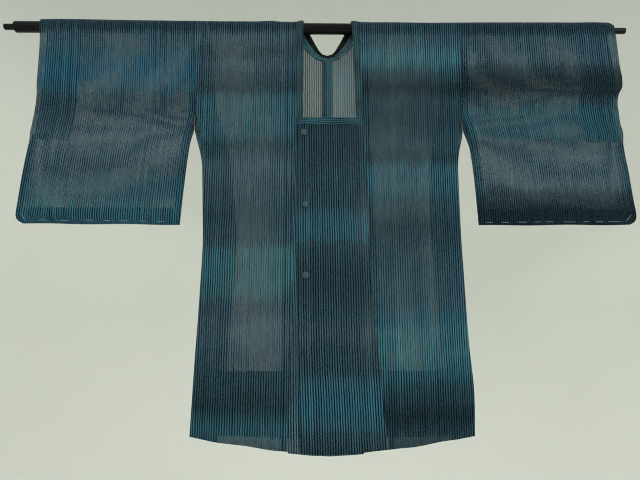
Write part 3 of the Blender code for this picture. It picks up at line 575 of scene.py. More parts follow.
def sleeve_point(x, s, side, lift=0.0):
    """Lays one point of the flat sleeve cloth over the rod."""
    if abs(s) <= QUARTER_WRAP:
        return over_rod(x, s, lift)
    z = hang_height(s)
    out = sleeve_out(x, z, side, s < 0) + lift
    return (x, -out if s < 0 else out, z)


def lap_lift(x, z):
    """How far the over panel stands off the under panel, easing to nothing at its own seam."""
    start = edge_at(UNDER_FREE_EDGE, z) + 0.002
    seam = edge_at(FRONT_EDGE[1] if z < NECK_BOTTOM else NECK_INNER[1], z)
    lift = LAP_LIFT * (1 - ease((x - start) / (seam - start)))
    along = (z - LAP_OPEN_HEIGHT) / LAP_OPEN_SPREAD
    across = (x - edge_at(OVER_FREE_EDGE, z)) / LAP_OPEN_WIDTH
    return lift + LAP_OPEN_EXTRA * math.exp(-along * along) * max(0.0, 1 - across) ** 2


# Sheets

def steps(start, end, size):
    """Even values from start to end, about size apart, both ends included."""
    count = max(1, round(abs(end - start) / size))
    return [start + (end - start) * n / count for n in range(count + 1)]


def layer_lift(over_side, over_hem):
    """Lift of a layer off the wall's middle, by its number of side folds and its share of the hem fold."""
    return (MAIN_LIFT - LAYER_STEP * over_side) * (1 - 2 * over_hem)


def add_object(name, data):
    """Links a new object to the scene."""
    made = bpy.data.objects.new(name, data)
    bpy.context.scene.collection.objects.link(made)
    return made


def shape_object(name, shape, material, sharp=None):
    """An object from a bmesh: its faces turned outwards, and smooth up to the sharp angle in degrees."""
    mesh = bpy.data.meshes.new(name)
    bmesh.ops.recalc_face_normals(shape, faces=shape.faces)
    shape.to_mesh(mesh)
    shape.free()
    mesh.shade_smooth()
    if sharp:
        mesh.set_sharp_from_angle(angle=math.radians(sharp))
    mesh.materials.append(material)
    return add_object(name, mesh)


def only_active(piece):
    """Leaves one object selected and active, for the operators that follow."""
    bpy.ops.object.select_all(action="DESELECT")
    piece.select_set(True)
    bpy.context.view_layer.objects.active = piece


def apply_modifier(piece, name, kind, **settings):
    """Adds one modifier and makes it part of the mesh."""
    modifier = piece.modifiers.new(name, kind)
    for key, value in settings.items():
        setattr(modifier, key, value)
    only_active(piece)
    bpy.ops.object.modifier_apply(modifier=modifier.name)


def cloth_sheet(name, rows, material, keep=None):
    """One sheet from rows of (point, (u, v)), thickened evenly. Returns it and its flat area."""
    width = len(rows[0])
    points = [spot[0] for row in rows for spot in row]
    flat = [spot[1] for row in rows for spot in row]
    faces = []
    for i in range(len(rows) - 1):
        for j in range(width - 1):
            if keep is None or keep(i, j):
                faces.append((i * width + j, i * width + j + 1, (i + 1) * width + j + 1, (i + 1) * width + j))
    mesh = bpy.data.meshes.new(name)
    mesh.from_pydata(points, [], faces)
    cloth_map = mesh.uv_layers.new(name="cloth")
    area = 0.0
    corner = 0
    for face in faces:
        for vertex in face:
            cloth_map.data[corner].uv = flat[vertex]
            corner += 1
        a, b, c, d = (flat[vertex] for vertex in face)
        area += abs((c[0] - a[0]) * (d[1] - b[1]) - (d[0] - b[0]) * (c[1] - a[1])) / 2
    trimmed = bmesh.new()
    trimmed.from_mesh(mesh)
    bmesh.ops.delete(trimmed, geom=[v for v in trimmed.verts if not v.link_faces], context="VERTS")
    trimmed.to_mesh(mesh)
    trimmed.free()
    mesh.shade_smooth()
    mesh.materials.append(material)
    piece = add_object(name, mesh)
    apply_modifier(piece, "Thickness", "SOLIDIFY", thickness=SHELL, offset=0.0, use_rim=True)
    return piece, area


def edge_columns(width, step, turned, fold_first):
    """Columns of a sheet as (part, share, side folds): a wide edge turned in, the main cloth, and a narrow
    edge turned in twice, so that its raw edge is hidden."""
    half = FOLD_HALF / width
    shares = [half, *steps(half * 6, 1 - half * 6, step / width), 1 - half]
    main = [("main", share, 0.0) for share in shares]
    first = [("first", share, 1.0) for share in steps(1.0, FOLD_HALF / turned[0], step / turned[0])]
    near, far = FOLD_HALF / turned[1], 1 - FOLD_HALF / turned[1]
    last = [("last", share, 1.0) for share in steps(near, far, step / turned[1])]
    raw = [("raw", share, 2.0) for share in steps(far, near, step / turned[1])]
    columns = [*first, ("first", 0.0, 0.5), *main, ("last", 0.0, 0.5), *last, ("last", 1.0, 1.5), *raw]
    return columns if fold_first else columns[::-1]


def hem_rows(front, top, bottom, step):
    """Rows of a turned-up hem from its raw top to the fold: (front, z, share turned up, hem fold share)."""
    height = top - bottom
    rows = [(front, bottom + height * up, up, 1.0) for up in steps(1.0, FOLD_HALF / height, step / height)]
    return rows + [(front, bottom, 0.0, 0.5)]


def hanging_rows(bottom, hem_top_front, hem_top_back, cut=(), back_cut=(), step=STEP_ALONG):
    """Rows of a length that hangs over the rod: front hem, front, shoulder, back and back hem."""
    heights = sorted(set(steps(bottom + FOLD_HALF, 0.0, step)) | set(cut))
    front = [(True, cloth_distance(z, True), None, 0.0) for z in heights]
    wrap = [(s < 0, s, None, 0.0) for s in steps(-QUARTER_WRAP, QUARTER_WRAP, STEP_ROUND_ROD)[1:-1]]
    back = [(False, s, None, 0.0) for s in sorted({-row[1] for row in front} | set(back_cut))]
    front_hem = hem_rows(True, hem_top_front, bottom, step)
    back_hem = hem_rows(False, hem_top_back, bottom, step)[::-1]
    return front_hem + front + wrap + back + back_hem


def turned_up(fold_z, hem_top, up, front):
    """A place s on a hem's inner layer, a share up of the way to its top, and its v on the flat cloth."""
    place = cloth_distance(fold_z + (hem_top - fold_z) * up, front)
    return place, 2 * cloth_distance(fold_z, front) - place


# Body

def body_inner_edge(s, side):
    """x of the edge of a body length next to the neck, the front seam or the centre back seam."""
    gap = side * SEAM_GAP / 2
    if s < 0:
        return edge_at(FRONT_EDGE[side], min(hang_height(s), 0.0)) + gap
    return side * neckline_half_width(s) + gap


def inner_allowance(s, side):
    """Width turned in at the inner edge of a body length."""
    if s < 0:
        wide = edge_at(FRONT_ALLOWANCE[side], min(hang_height(s), 0.0))
        past_neck = -s - QUARTER_WRAP * 0.6
    else:
        wide = CENTRE_BACK_ALLOWANCE
        past_neck = s - BACK_NECK_FOOT + ALLOWANCE_EASE
    return NECK_ALLOWANCE + (wide - NECK_ALLOWANCE) * ease(past_neck / ALLOWANCE_EASE)


def make_body(name, side, material):
    """One length for one side of the body, with its allowances and both hems turned in."""
    columns = edge_columns(0.20, STEP_ACROSS, (0.062, 0.014), side < 0)
    neck_cuts = steps(QUARTER_WRAP + 0.002, 0.080, 0.003) + steps(0.081, BACK_NECK_FOOT, 0.001)
    plan = hanging_rows(HEM_AT_SIDES, HEM_TOP_FRONT, HEM_TOP_BACK, back_cut=neck_cuts)
    rows = []
    for front, reach, up, over_hem in plan:
        s = reach if up is None else cloth_distance(reach, front)
        z = min(hang_height(s), 0.0)
        outer = body_side(side, z, front) - side * SEAM_GAP / 2
        inner = body_inner_edge(s, side)
        allowance = side * SELVEDGE[side] - outer
        turned_inner = inner_allowance(s, side)
        drop, hem_top = (HEM_DROP_FRONT, HEM_TOP_FRONT) if front else (HEM_DROP_BACK, HEM_TOP_BACK)
        row = []
        for part, share, over_side in columns:
            if part == "main":
                x = outer + (inner - outer) * share
                u = x
            elif part == "first":
                x = outer - share * allowance
                u = outer + share * allowance
            else:
                x = inner + side * share * turned_inner
                u = inner - side * (share if part == "last" else 2 - share) * turned_inner
            if up is None:
                shift = hem_shift(x, z, drop)
                place = v = s + shift if front else s - shift
            else:
                place, v = turned_up(HEM_AT_SIDES + hem_shift(x, HEM_AT_SIDES, drop), hem_top, up, front)
            row.append((body_point(x, place, layer_lift(over_side, over_hem)), (u, v)))
        rows.append(row)
    return cloth_sheet(name, rows, material)


# Front panels

def make_panel(name, free_edge, seam_edge, drop, lift, material):
    """A doubled front panel: one sheet folded along its free edge, with its hem turned up."""
    half = FOLD_HALF / PANEL_WIDTH
    step = STEP_ACROSS / PANEL_WIDTH
    columns = [(share, 1.0) for share in steps(1 - half, half, step)] + [(0.0, 0.5), (half, 0.0)]
    columns += [(share, 0.0) for share in steps(half * 6, 1.0, step)]
    if free_edge(NECK_BOTTOM) > seam_edge(NECK_BOTTOM):
        columns = columns[::-1]
    heights = steps(HEM_AT_SIDES + FOLD_HALF, NECK_BOTTOM - SEAM_GAP, STEP_ALONG)
    plan = hem_rows(True, HEM_TOP_FRONT, HEM_AT_SIDES, STEP_ALONG) + [(True, z, None, 0.0) for z in heights]
    rows = []
    for _, z, up, over_hem in plan:
        free, seam = free_edge(z), seam_edge(z)
        row = []
        for share, over_side in columns:
            x = free + (seam - free) * share
            u = (x - free) * (1 - 2 * round(over_side))
            if up is None:
                place = v = cloth_distance(z + hem_shift(x, z, drop), True)
            else:
                place, v = turned_up(HEM_AT_SIDES + hem_shift(x, HEM_AT_SIDES, drop), HEM_TOP_FRONT, up, True)
            off = lift(x, z) + layer_lift(over_side, over_hem)
            row.append((body_point(x, place, off), (u, v)))
        rows.append(row)
    return cloth_sheet(name, rows, material)


# Sleeves

def make_sleeve(name, side, material):
    """One length folded over the rod, with its bottom, armhole edge and cuff turned in."""
    fold_top = SLEEVE_FOLD_TOP[side]
    turn_share = SLEEVE_ALLOWANCE / CUFF_TURN_BACK
    columns = edge_columns(SLEEVE_WIDTH, STEP_ACROSS, (CUFF_TURN_BACK, SLEEVE_ALLOWANCE), side < 0)
    cuts = (CUFF_TURN_BACK_END, -0.4475, -0.4435)
    plan = hanging_rows(SLEEVE_BOTTOM, fold_top, fold_top, cut=cuts, step=SLEEVE_STEP_ALONG)
    rows = []
    for front, reach, up, over_hem in plan:
        s = reach if up is None else cloth_distance(reach, front)
        z = min(hang_height(s), 0.0)
        inner = side_edge((SLEEVE_INNER if front else SLEEVE_BACK_INNER)[side], z) + side * SEAM_GAP / 2
        outer = edge_at(SLEEVE_OUTER[side], z)
        row = []
        for part, share, over_side in columns:
            if part == "main":
                x = outer + (inner - outer) * share
                u = SLEEVE_WIDTH * (1 - share)
            elif part == "first":
                x = outer - side * share * CUFF_TURN_BACK
                u = SLEEVE_WIDTH + share * CUFF_TURN_BACK
            else:
                x = inner + side * share * SLEEVE_ALLOWANCE
                u = -(share if part == "last" else 2 - share) * SLEEVE_ALLOWANCE
            away = min(1.0, abs(x - inner) / abs(outer - inner))
            bottom = SLEEVE_BOTTOM - SLEEVE_BOTTOM_SLANT * (1 - away) + 0.0007 * math.sin(x * 38.0 + side)
            if up is None:
                down = (SLEEVE_EASE_FROM - z) / (SLEEVE_EASE_FROM - SLEEVE_BOTTOM)
                shift = (bottom - SLEEVE_BOTTOM) * ease(down)
                place = v = s + shift if front else s - shift
            else:
                place, v = turned_up(bottom, fold_top, up, front)
            row.append((sleeve_point(x, place, side, layer_lift(over_side, over_hem)), (side * u, v)))
        rows.append(row)

    def keep(i, j):
        """Below the cuff opening only a seam allowance is turned in, so the turn-back is cut away there."""
        part, share, _ = columns[j]
        other, other_share, _ = columns[j + 1]
        turned = max(share if part == "first" else 0.0, other_share)
        if "first" not in (part, other) or turned < turn_share * 1.1:
            return True
        both = (plan[i], plan[i + 1])
        end = CUFF_TURN_BACK_END - 0.0001
        low = any(up is not None or hang_height(reach) < end for _, reach, up, _ in both)
        return not low or "main" in (part, other)

    return cloth_sheet(name, rows, material, keep)


# Collar

def between(first, last, share):
    """The flat point a share of the way from first to last."""
    return tuple(a + (b - a) * share for a, b in zip(first, last))


def band_ring(inner, outer, half_wall, off):
    """Closed ring of points round the doubled band between its inner and outer edge."""
    shares = (0.02, 0.14, 0.32, 0.50, 0.68, 0.86, 0.98)
    width = math.dist(inner, outer)
    profile = [(0.0, 0.0)]
    profile += [(share, half_wall * (0.80 + 0.45 * math.sin(math.pi * share))) for share in shares]
    profile += [(1.0, 0.0)]
    profile += [(share, -half_wall * 0.85) for share in reversed(shares)]
    ring = []
    for share, height in profile:
        x, s = between(inner, outer, share)
        u = (2 - share) * width if height < 0 else share * width
        ring.append((body_point(x, s, off(x, s) + height), u))
    return ring


def band_tube(name, stations, half_wall, off, material):
    """A flat closed tube of cloth through the stations, each an (inner, outer) pair of flat points."""
    rings = [band_ring(inner, outer, half_wall, off) for inner, outer in stations]
    middles = [[(inner[n] + outer[n]) / 2 for n in (0, 1)] for inner, outer in stations]
    lengths = [0.0]
    for before, after in zip(middles, middles[1:]):
        lengths.append(lengths[-1] + math.dist(before, after))
    centre = lengths[-1] / 2
    count = len(rings[0])
    tube = bmesh.new()
    cloth_map = tube.loops.layers.uv.new("cloth")
    verts = [[tube.verts.new(point) for point, _ in ring] for ring in rings]
    for i in range(len(rings) - 1):
        for j in range(count):
            k = (j + 1) % count
            face = tube.faces.new((verts[i][j], verts[i + 1][j], verts[i + 1][k], verts[i][k]))
            ends = [rings[i][j][1], rings[i + 1][j][1], rings[i + 1][k][1], rings[i][k][1]]
            if k == 0:
                ends[2] = ends[3] = 2 * rings[i][count // 2][1]
            for loop, u, v in zip(face.loops, ends, (lengths[i], lengths[i + 1], lengths[i + 1], lengths[i])):
                loop[cloth_map].uv = (u, v - centre)
    tube.faces.new(verts[0])
    tube.faces.new(verts[-1][::-1])
    return shape_object(name, tube, material, sharp=50), lengths[-1]


def neck_band_stations(side):
    """Inner and outer points of the neck band on one side, from its front corner to the centre back."""
    gap = side * SEAM_GAP / 2

    def square(z, s):
        return ((edge_at(NECK_INNER[side], z), s), (edge_at(FRONT_EDGE[side], z) - gap, s))

    corner_in, _ = square(NECK_TOP_OF_BAND, cloth_distance(NECK_TOP_OF_BAND + SEAM_GAP, True))
    _, corner_out = square(NECK_BOTTOM, cloth_distance(NECK_BOTTOM + SEAM_GAP, True))
    above_in, above_out = square(MITRE_TOP, cloth_distance(MITRE_TOP, True))
    shares = [n / 6 for n in range(6)]
    stations = [(between(corner_in, above_in, n), between(corner_out, above_out, n)) for n in shares]
    stations += [square(z, cloth_distance(z, True)) for z in steps(MITRE_TOP, 0.0, 0.005)]
    stations += [square(0.0, s) for s in steps(-QUARTER_WRAP, 0.0, 0.0025)[1:-1]]
    for position in steps(0.0, len(BACK_NECK) - 1, 0.125):
        (inner_x, inner_s), (outer_x, outer_s) = neck_station(position)
        outer_x = max(0.0, outer_x - SEAM_GAP / 2)
        stations.append(((side * inner_x, inner_s), (side * outer_x, outer_s - SEAM_GAP / 2)))
    return stations


def level_stations(top_ends, low_ends):
    """Stations of a level band, between the x of its two ends at its top and at its foot."""
    top = [(x, cloth_distance(NECK_TOP_OF_BAND, True)) for x in top_ends]
    low = [(x, cloth_distance(NECK_BOTTOM, True)) for x in low_ends]
    return [(between(*top, share), between(*low, share)) for share in steps(0.0, 1.0, 0.03)]


def make_collar(band_material, level_material, facing_material):
    """The neck band in one strip, the two level bands on the panels, and the facing inside the back neck."""
    right = neck_band_stations(-1)
    left = neck_band_stations(1)
    corner = edge_at(NECK_INNER[-1], NECK_TOP_OF_BAND)
    over = level_stations(
        (corner, edge_at(NECK_INNER[1], NECK_TOP_OF_BAND) - SEAM_GAP),
        (edge_at(OVER_FREE_EDGE, NECK_BOTTOM), edge_at(FRONT_EDGE[1], NECK_BOTTOM) - SEAM_GAP),
    )
    under = level_stations(
        (corner + SEAM_GAP, edge_at(UNDER_FREE_EDGE, NECK_TOP_OF_BAND)),
        (edge_at(FRONT_EDGE[-1], NECK_BOTTOM), edge_at(UNDER_FREE_EDGE, NECK_BOTTOM)),
    )
    half = [station for station in right if station[0][1] > 0.012]
    both = half + [((-a[0], a[1]), (-b[0], b[1])) for a, b in reversed(half[:-1])]
    strip = [(between(inner, outer, 0.50), between(inner, outer, 0.98)) for inner, outer in both]
    return [
        band_tube("neck_band", right + left[-2::-1], BAND_HALF_WALL, lambda x, s: BAND_LIFT, band_material),
        band_tube(
            "level_band_over", over, BAND_HALF_WALL, lambda x, s: BAND_LIFT + lap_lift(x, hang_height(s)),
            level_material,
        ),
        band_tube("level_band_under", under, BAND_HALF_WALL, lambda x, s: BAND_LIFT, level_material),
        band_tube("back_neck_facing", strip, FACING_HALF_WALL, lambda x, s: -FACING_DEPTH, facing_material),
    ]


# Materials

class Shader:
    """Adds and joins the nodes of one material."""

    def __init__(self, name):
        self.material = bpy.data.materials.new(name)
        self.material.use_nodes = True
        self.nodes = self.material.node_tree.nodes
        self.links = self.material.node_tree.links
        self.surface = self.nodes["Principled BSDF"]

    def node(self, kind, inputs=None, **settings):
        made = self.nodes.new(kind)
        for key, value in settings.items():
            setattr(made, key, value)
        for key, value in (inputs or {}).items():
            self.put(made.inputs[key], value)
        return made

    def put(self, socket, value):
        if isinstance(value, bpy.types.NodeSocket):
            self.links.new(value, socket)
        else:
            socket.default_value = value

    def math(self, operation, *values):
        return self.node("ShaderNodeMath", dict(enumerate(values)), operation=operation).outputs[0]

    def times(self, value, factor):
        return self.math("MULTIPLY", value, factor)

    def plus(self, value, other):
        return self.math("ADD", value, other)

    def wave(self, value, pitch):
        return self.math("COSINE", self.times(value, math.tau / pitch))

    def swing(self, value, size):
        """A value from 0 to 1 made to swing evenly about nothing."""
        return self.times(self.math("SUBTRACT", value, 0.5), size)

    def split(self, vector):
        return self.node("ShaderNodeSeparateXYZ", {"Vector": vector}).outputs

    def own_place(self):
        return self.node("ShaderNodeTexCoord").outputs["Object"]

    def spread(self, value, low, high, new_low, new_high, smooth=False):
        kind = "SMOOTHSTEP" if smooth else "LINEAR"
        inputs = {"Value": value, "From Min": low, "From Max": high, "To Min": new_low, "To Max": new_high}
        return self.node("ShaderNodeMapRange", inputs, interpolation_type=kind).outputs["Result"]

    def grid(self, x, x_scale, y, y_scale, z=0.0):
        inputs = {"X": self.times(x, x_scale), "Y": self.times(y, y_scale), "Z": z}
        return self.node("ShaderNodeCombineXYZ", inputs).outputs[0]

    def noise(self, place, scale, detail=2.0, roughness=0.5):
        inputs = {"Vector": place, "Scale": scale, "Detail": detail, "Roughness": roughness}
        return self.node("ShaderNodeTexNoise", inputs).outputs["Fac"]

    def scaled(self, colour, factor):
        return self.node("ShaderNodeVectorMath", {0: colour, "Scale": factor}, operation="SCALE").outputs[0]

    def mix(self, factor, first, second):
        made = self.node("ShaderNodeMix", data_type="RGBA")
        self.put(made.inputs[0], factor)
        for socket, value in ((made.inputs[6], first), (made.inputs[7], second)):
            self.put(socket, (*value[:3], 1.0) if isinstance(value, tuple) else value)
        return made.outputs[2]

    def dye_ramp(self, value, dyes):
        low, high = dyes[0][0], dyes[-1][0]
        ramp = self.node("ShaderNodeValToRGB", {"Fac": self.spread(value, low, high, 0.0, 1.0)})
        ramp.color_ramp.interpolation = "EASE"
        for n, (place, colour) in enumerate(dyes):
            share = (place - low) / (high - low)
            if n in (0, len(dyes) - 1):
                stop = ramp.color_ramp.elements[0 if n == 0 else -1]
                stop.position = share
            else:
                stop = ramp.color_ramp.elements.new(share)
            stop.color = colour
        return ramp.outputs["Color"], ramp.outputs["Alpha"]

    def bump(self, height, distance, strength):
        inputs = {"Height": height, "Distance": distance, "Strength": strength}
        return self.node("ShaderNodeBump", inputs).outputs["Normal"]

    def finish(self, **values):
        for key, value in values.items():
            socket = self.surface.inputs[key.replace("_", " ")]
            if isinstance(value, tuple) and len(value) == 3 and socket.type == "RGBA":
                value = (*value, 1.0)
            self.put(socket, value)
        return self.material


def striped_gauze(part, opacity=GAUZE_OPACITY, dark_share=0.12, highlight_edge=0.0):
    """Gauze with dense stripes between open ones, dyed in soft uneven bands along the warp. opacity gives
    each kind of stripe its value where the gauze covers least and most. The open stripes are coloured a share
    of the dye, which is painted shade for the shaded layers seen through them. The last argument is the width
    of a painted highlight along the edge where u starts, where the folded edge catches the light."""
    shader = Shader(part + "_gauze")
    flat = shader.split(shader.node("ShaderNodeUVMap", uv_map="cloth").outputs["UV"])
    u, v = flat["X"], flat["Y"]

    slow = shader.grid(u, 10.0, v, 6.0)
    quick = shader.grid(u, 20.0, v, 42.0, 3.0)
    wander = shader.plus(
        shader.swing(shader.noise(slow, 1.0), 0.0030), shader.swing(shader.noise(quick, 1.0, 1.0), 0.0020),
    )
    lines = shader.math("DIVIDE", shader.plus(u, wander), STRIPE)
    stripe = shader.math("FLOOR", lines)
    across = shader.math("FRACT", lines)
    chance = shader.node("ShaderNodeTexWhiteNoise", {"W": stripe}, noise_dimensions="1D")
    chances = shader.split(chance.outputs["Color"])
    width_chance, shade_chance, dye_chance = chances["X"], chances["Y"], chances["Z"]

    middle = shader.spread(width_chance, 0.0, 1.0, -0.34, 0.26)
    low, high = shader.math("SUBTRACT", middle, 0.24), shader.plus(middle, 0.24)
    dense_mask = shader.spread(shader.wave(across, 1.0), low, high, 0.0, 1.0, smooth=True)
    weft = shader.wave(v, WEFT_PITCH)
    warp = shader.wave(u, THREAD_PITCH)

    streak = shader.noise(shader.grid(stripe, 3.7, v, 7.0), 1.0)
    slub = shader.noise(shader.grid(stripe, 1.9, v, 26.0), 1.0)
    edge = shader.plus(shader.swing(streak, 0.030), shader.swing(dye_chance, 0.008))
    dyed, cover = shader.dye_ramp(shader.plus(v, edge), DYES[part])
    # Each length's scales, which on the sleeves are painted shade
    dyed = shader.node("ShaderNodeVectorMath", {0: dyed, 1: TINTS_AND_SHADE[part]}, operation="MULTIPLY").outputs[0]

    bright = shader.times(
        shader.spread(slub, 0.25, 0.75, 0.88, 1.12), shader.spread(shade_chance, 0.0, 1.0, 0.80, 1.20),
    )
    # The open stripes take a small share of the dye: painted shade for the shaded layers seen through them
    colour = shader.mix(dense_mask, shader.scaled(dyed, dark_share), shader.scaled(dyed, bright))
    # Painted highlight along the edge where u starts, where the folded edge catches the light
    if highlight_edge:
        fold = shader.spread(shader.math("ABSOLUTE", u), 0.0, highlight_edge, 1.0, 0.0)
        colour = shader.mix(fold, colour, PAINTED_EDGE_HIGHLIGHT)

    open_alpha = shader.plus(shader.spread(cover, 0.0, 1.0, *opacity["open"]), shader.times(weft, 0.03))
    dense_alpha = shader.spread(cover, 0.0, 1.0, *opacity["dense"])
    threads = shader.plus(shader.times(weft, 0.16), shader.times(warp, 0.10))
    return shader.finish(
        Base_Color=colour,
        Alpha=shader.spread(dense_mask, 0.0, 1.0, open_alpha, dense_alpha),
        Roughness=shader.spread(slub, 0.3, 0.7, 0.74, 0.60),
        Normal=shader.bump(shader.plus(dense_mask, threads), 0.00030, 0.45),
        Specular_IOR_Level=0.10,
        Sheen_Weight=0.02,
        Sheen_Roughness=0.45,
        Sheen_Tint=SHEEN_TINT,
    )


def covered_button_cloth():
    """The same striped cloth stretched over a dome."""
    shader = Shader("covered_button")
    place = shader.own_place()
    axes = shader.split(place)
    wander = shader.swing(shader.noise(place, 240.0), 0.0022)
    stripes = shader.wave(shader.plus(axes["X"], wander), 0.0030)
    dense = shader.spread(stripes, -0.4, 0.4, 0.0, 1.0, smooth=True)
    weft = shader.wave(axes["Z"], 0.0008)
    mottle = shader.noise(place, 900.0, 3.0)
    light = shader.scaled(shader.mix(mottle, SLATE, TEAL), 0.75)
    return shader.finish(
        Base_Color=shader.mix(dense, shader.scaled(light, 0.35), light),
        Roughness=shader.spread(mottle, 0.3, 0.7, 0.70, 0.52),
        Normal=shader.bump(shader.plus(dense, shader.times(weft, 0.3)), 0.00022, 0.6),
        Specular_IOR_Level=0.40,
        Sheen_Weight=0.15,
        Sheen_Roughness=0.40,
        Sheen_Tint=SHEEN_TINT,
    )


def sewing_thread():
    """Twisted thread, paler than the cloth."""
    shader = Shader("sewing_thread")
    place = shader.own_place()
    axes = shader.split(place)
    twist = shader.wave(shader.plus(axes["X"], axes["Z"]), 0.0012)
    fuzz = shader.noise(place, 1400.0, 3.0)
    return shader.finish(
        Base_Color=shader.mix(fuzz, (0.16, 0.26, 0.30), (0.30, 0.42, 0.46)),
        Roughness=shader.spread(fuzz, 0.3, 0.7, 0.72, 0.55),
        Normal=shader.bump(twist, 0.00012, 0.7),
        Specular_IOR_Level=0.35,
    )


def black_lacquer():
    """Glossy black finish with fine rubbing marks along the rod and a little dust."""
    shader = Shader("black_rod")
    place = shader.own_place()
    long_marks = shader.node("ShaderNodeMapping", {"Vector": place, "Scale": (3.0, 260.0, 260.0)}).outputs[0]
    marks = shader.noise(long_marks, 3.0, 4.0, 0.62)
    cloud = shader.noise(place, 14.0, 3.0)
    dust = shader.node("ShaderNodeTexVoronoi", {"Vector": place, "Scale": 420.0}).outputs["Distance"]
    speck = shader.times(shader.spread(dust, 0.10, 0.16, 1.0, 0.0), shader.spread(cloud, 0.5, 0.7, 0.0, 0.5))
    return shader.finish(
        Base_Color=shader.mix(speck, (0.0030, 0.0042, 0.0034), (0.030, 0.031, 0.028)),
        Roughness=shader.plus(shader.spread(marks, 0.3, 0.7, 0.16, 0.30), shader.times(speck, 0.3)),
        Normal=shader.bump(shader.plus(marks, shader.times(speck, 0.6)), 0.00006, 0.35),
        Specular_IOR_Level=0.10,
    )


def pale_plaster():
    """Pale backdrop with a faint mottle."""
    shader = Shader("pale_backdrop")
    place = shader.own_place()
    return shader.finish(
        Base_Color=shader.mix(shader.noise(place, 1.6, 4.0), (0.665, 0.685, 0.630), (0.700, 0.720, 0.665)),
        Roughness=0.9,
        Normal=shader.bump(shader.noise(place, 260.0), 0.0004, 0.15),
        Specular_IOR_Level=0.15,
    )


# Rod and buttons

def make_rod(material):
    """A round bar with a chamfered end cap and a thinner stub at each end."""
    start, end = ROD_ENDS
    bpy.ops.object.select_all(action="DESELECT")
    bpy.ops.mesh.primitive_cylinder_add(
        vertices=96, radius=ROD_RADIUS, depth=end - start, location=((start + end) / 2, 0, 0),
        rotation=(0, math.pi / 2, 0),
    )
    rod = bpy.context.object
    rod.name = "hanging_rod"
    bpy.ops.object.transform_apply(location=True, rotation=True, scale=True)
    bpy.ops.object.mode_set(mode="EDIT")
    bpy.ops.mesh.select_mode(type="FACE")
    for direction, reach in ((-1, STUB_ENDS[0] - start), (1, STUB_ENDS[1] - end)):
        bpy.ops.mesh.select_all(action="DESELECT")
        shape = bmesh.from_edit_mesh(rod.data)
        for face in shape.faces:
            face.select_set(face.normal.x * direction > 0.9)
        shape.select_flush_mode()
        bmesh.update_edit_mesh(rod.data)
        bpy.ops.mesh.inset(thickness=ROD_RADIUS - STUB_RADIUS)
        bpy.ops.mesh.extrude_region_move(TRANSFORM_OT_translate={"value": (reach, 0, 0)})
        bpy.ops.mesh.inset(thickness=STUB_RADIUS * 0.5)
    bpy.ops.mesh.select_all(action="DESELECT")
    bpy.ops.object.mode_set(mode="OBJECT")
    apply_modifier(
        rod, "Chamfer", "BEVEL", width=0.0010, segments=3, limit_method="ANGLE", angle_limit=math.radians(40),
    )
    bpy.ops.object.shade_smooth_by_angle(angle=math.radians(30))
    rod.data.materials.clear()
    rod.data.materials.append(material)
    return rod


def make_button(number, place, material):
    """A domed button covered with cloth that is gathered under its rim."""
    x, z = place
    near = (-0.004, 0.0, 0.004)
    under = [(x + dx, z + dz) for dx in near for dz in near]
    seat = max(-body_point(a, cloth_distance(b, True), lap_lift(a, b))[1] for a, b in under)
    base_y = -(seat + WALL / 2 + SEAM_GAP)
    centre = (x, base_y - 0.0010, z)
    bpy.ops.object.select_all(action="DESELECT")
    bpy.ops.mesh.primitive_uv_sphere_add(
        segments=56, ring_count=32, radius=BUTTON_RADIUS, location=centre, rotation=(math.pi / 2, 0, 0),
    )
    button = bpy.context.object
    button.name = f"covered_button_{number}"
    bpy.ops.object.transform_apply(location=True, rotation=True, scale=True)
    bpy.ops.object.mode_set(mode="EDIT")
    bpy.ops.mesh.select_all(action="SELECT")
    bpy.ops.transform.resize(value=(1.0, 0.60, 1.0), center_override=centre)
    bpy.ops.mesh.bisect(
        plane_co=(x, base_y, z), plane_no=(0, 1, 0), use_fill=True, clear_outer=True, clear_inner=False,
    )
    bpy.ops.mesh.select_all(action="DESELECT")
    bpy.ops.object.mode_set(mode="OBJECT")
    for vertex in button.data.vertices:
        away = Vector((vertex.co.x - x, vertex.co.z - z))
        height = (base_y - vertex.co.y) / BUTTON_RADIUS
        if away.length > BUTTON_RADIUS * 0.5:
            turn = math.atan2(away.y, away.x)
            gather = math.cos(22 * turn + 0.8 * math.sin(3 * turn)) * 0.00014 * max(0.0, 1 - height * 3)
            vertex.co.x += away.x / away.length * gather
            vertex.co.z += away.y / away.length * gather
    only_active(button)
    bpy.ops.object.shade_smooth_by_angle(angle=math.radians(50))
    button.data.materials.clear()
    button.data.materials.append(material)
    return button


# Stitches

def make_stitches(name, side, dashes, material):
    """Running stitches on a sleeve: each dash is a short thread lying on the cloth, from (x, z) to (x, z)."""
    threads = bmesh.new()
    out = Vector((0, 1, 0))
    for front in (True, False):
        for start, end in dashes:
            rings = []
            for share in steps(0.0, 1.0, 0.1):
                x, z = between(start, end, share)
                lift = MAIN_LIFT + SHELL / 2 + 0.00022 * math.sin(math.pi * share) ** 0.5
                centre = Vector(sleeve_point(x, cloth_distance(z, front), side, lift))
                along = Vector((end[0] - start[0], 0.0, end[1] - start[1])).normalized()
                across = along.cross(out)
                thick = 0.00034 * (0.25 + 0.75 * math.sin(math.pi * min(0.94, max(0.06, share))) ** 0.4)
                ring = []
                for k in range(THREAD_SIDES):
                    turn = math.tau * k / THREAD_SIDES
                    offset = across * math.cos(turn) * thick + out * math.sin(turn) * thick * 0.6
                    ring.append(threads.verts.new(centre + offset))
                rings.append(ring)
            for before, after in zip(rings, rings[1:]):
                for k in range(THREAD_SIDES):
                    n = (k + 1) % THREAD_SIDES
                    threads.faces.new((before[k], before[n], after[n], after[k]))
            threads.faces.new(rings[0][::-1])
            threads.faces.new(rings[-1])
    return shape_object(name, threads, material)


# Studio

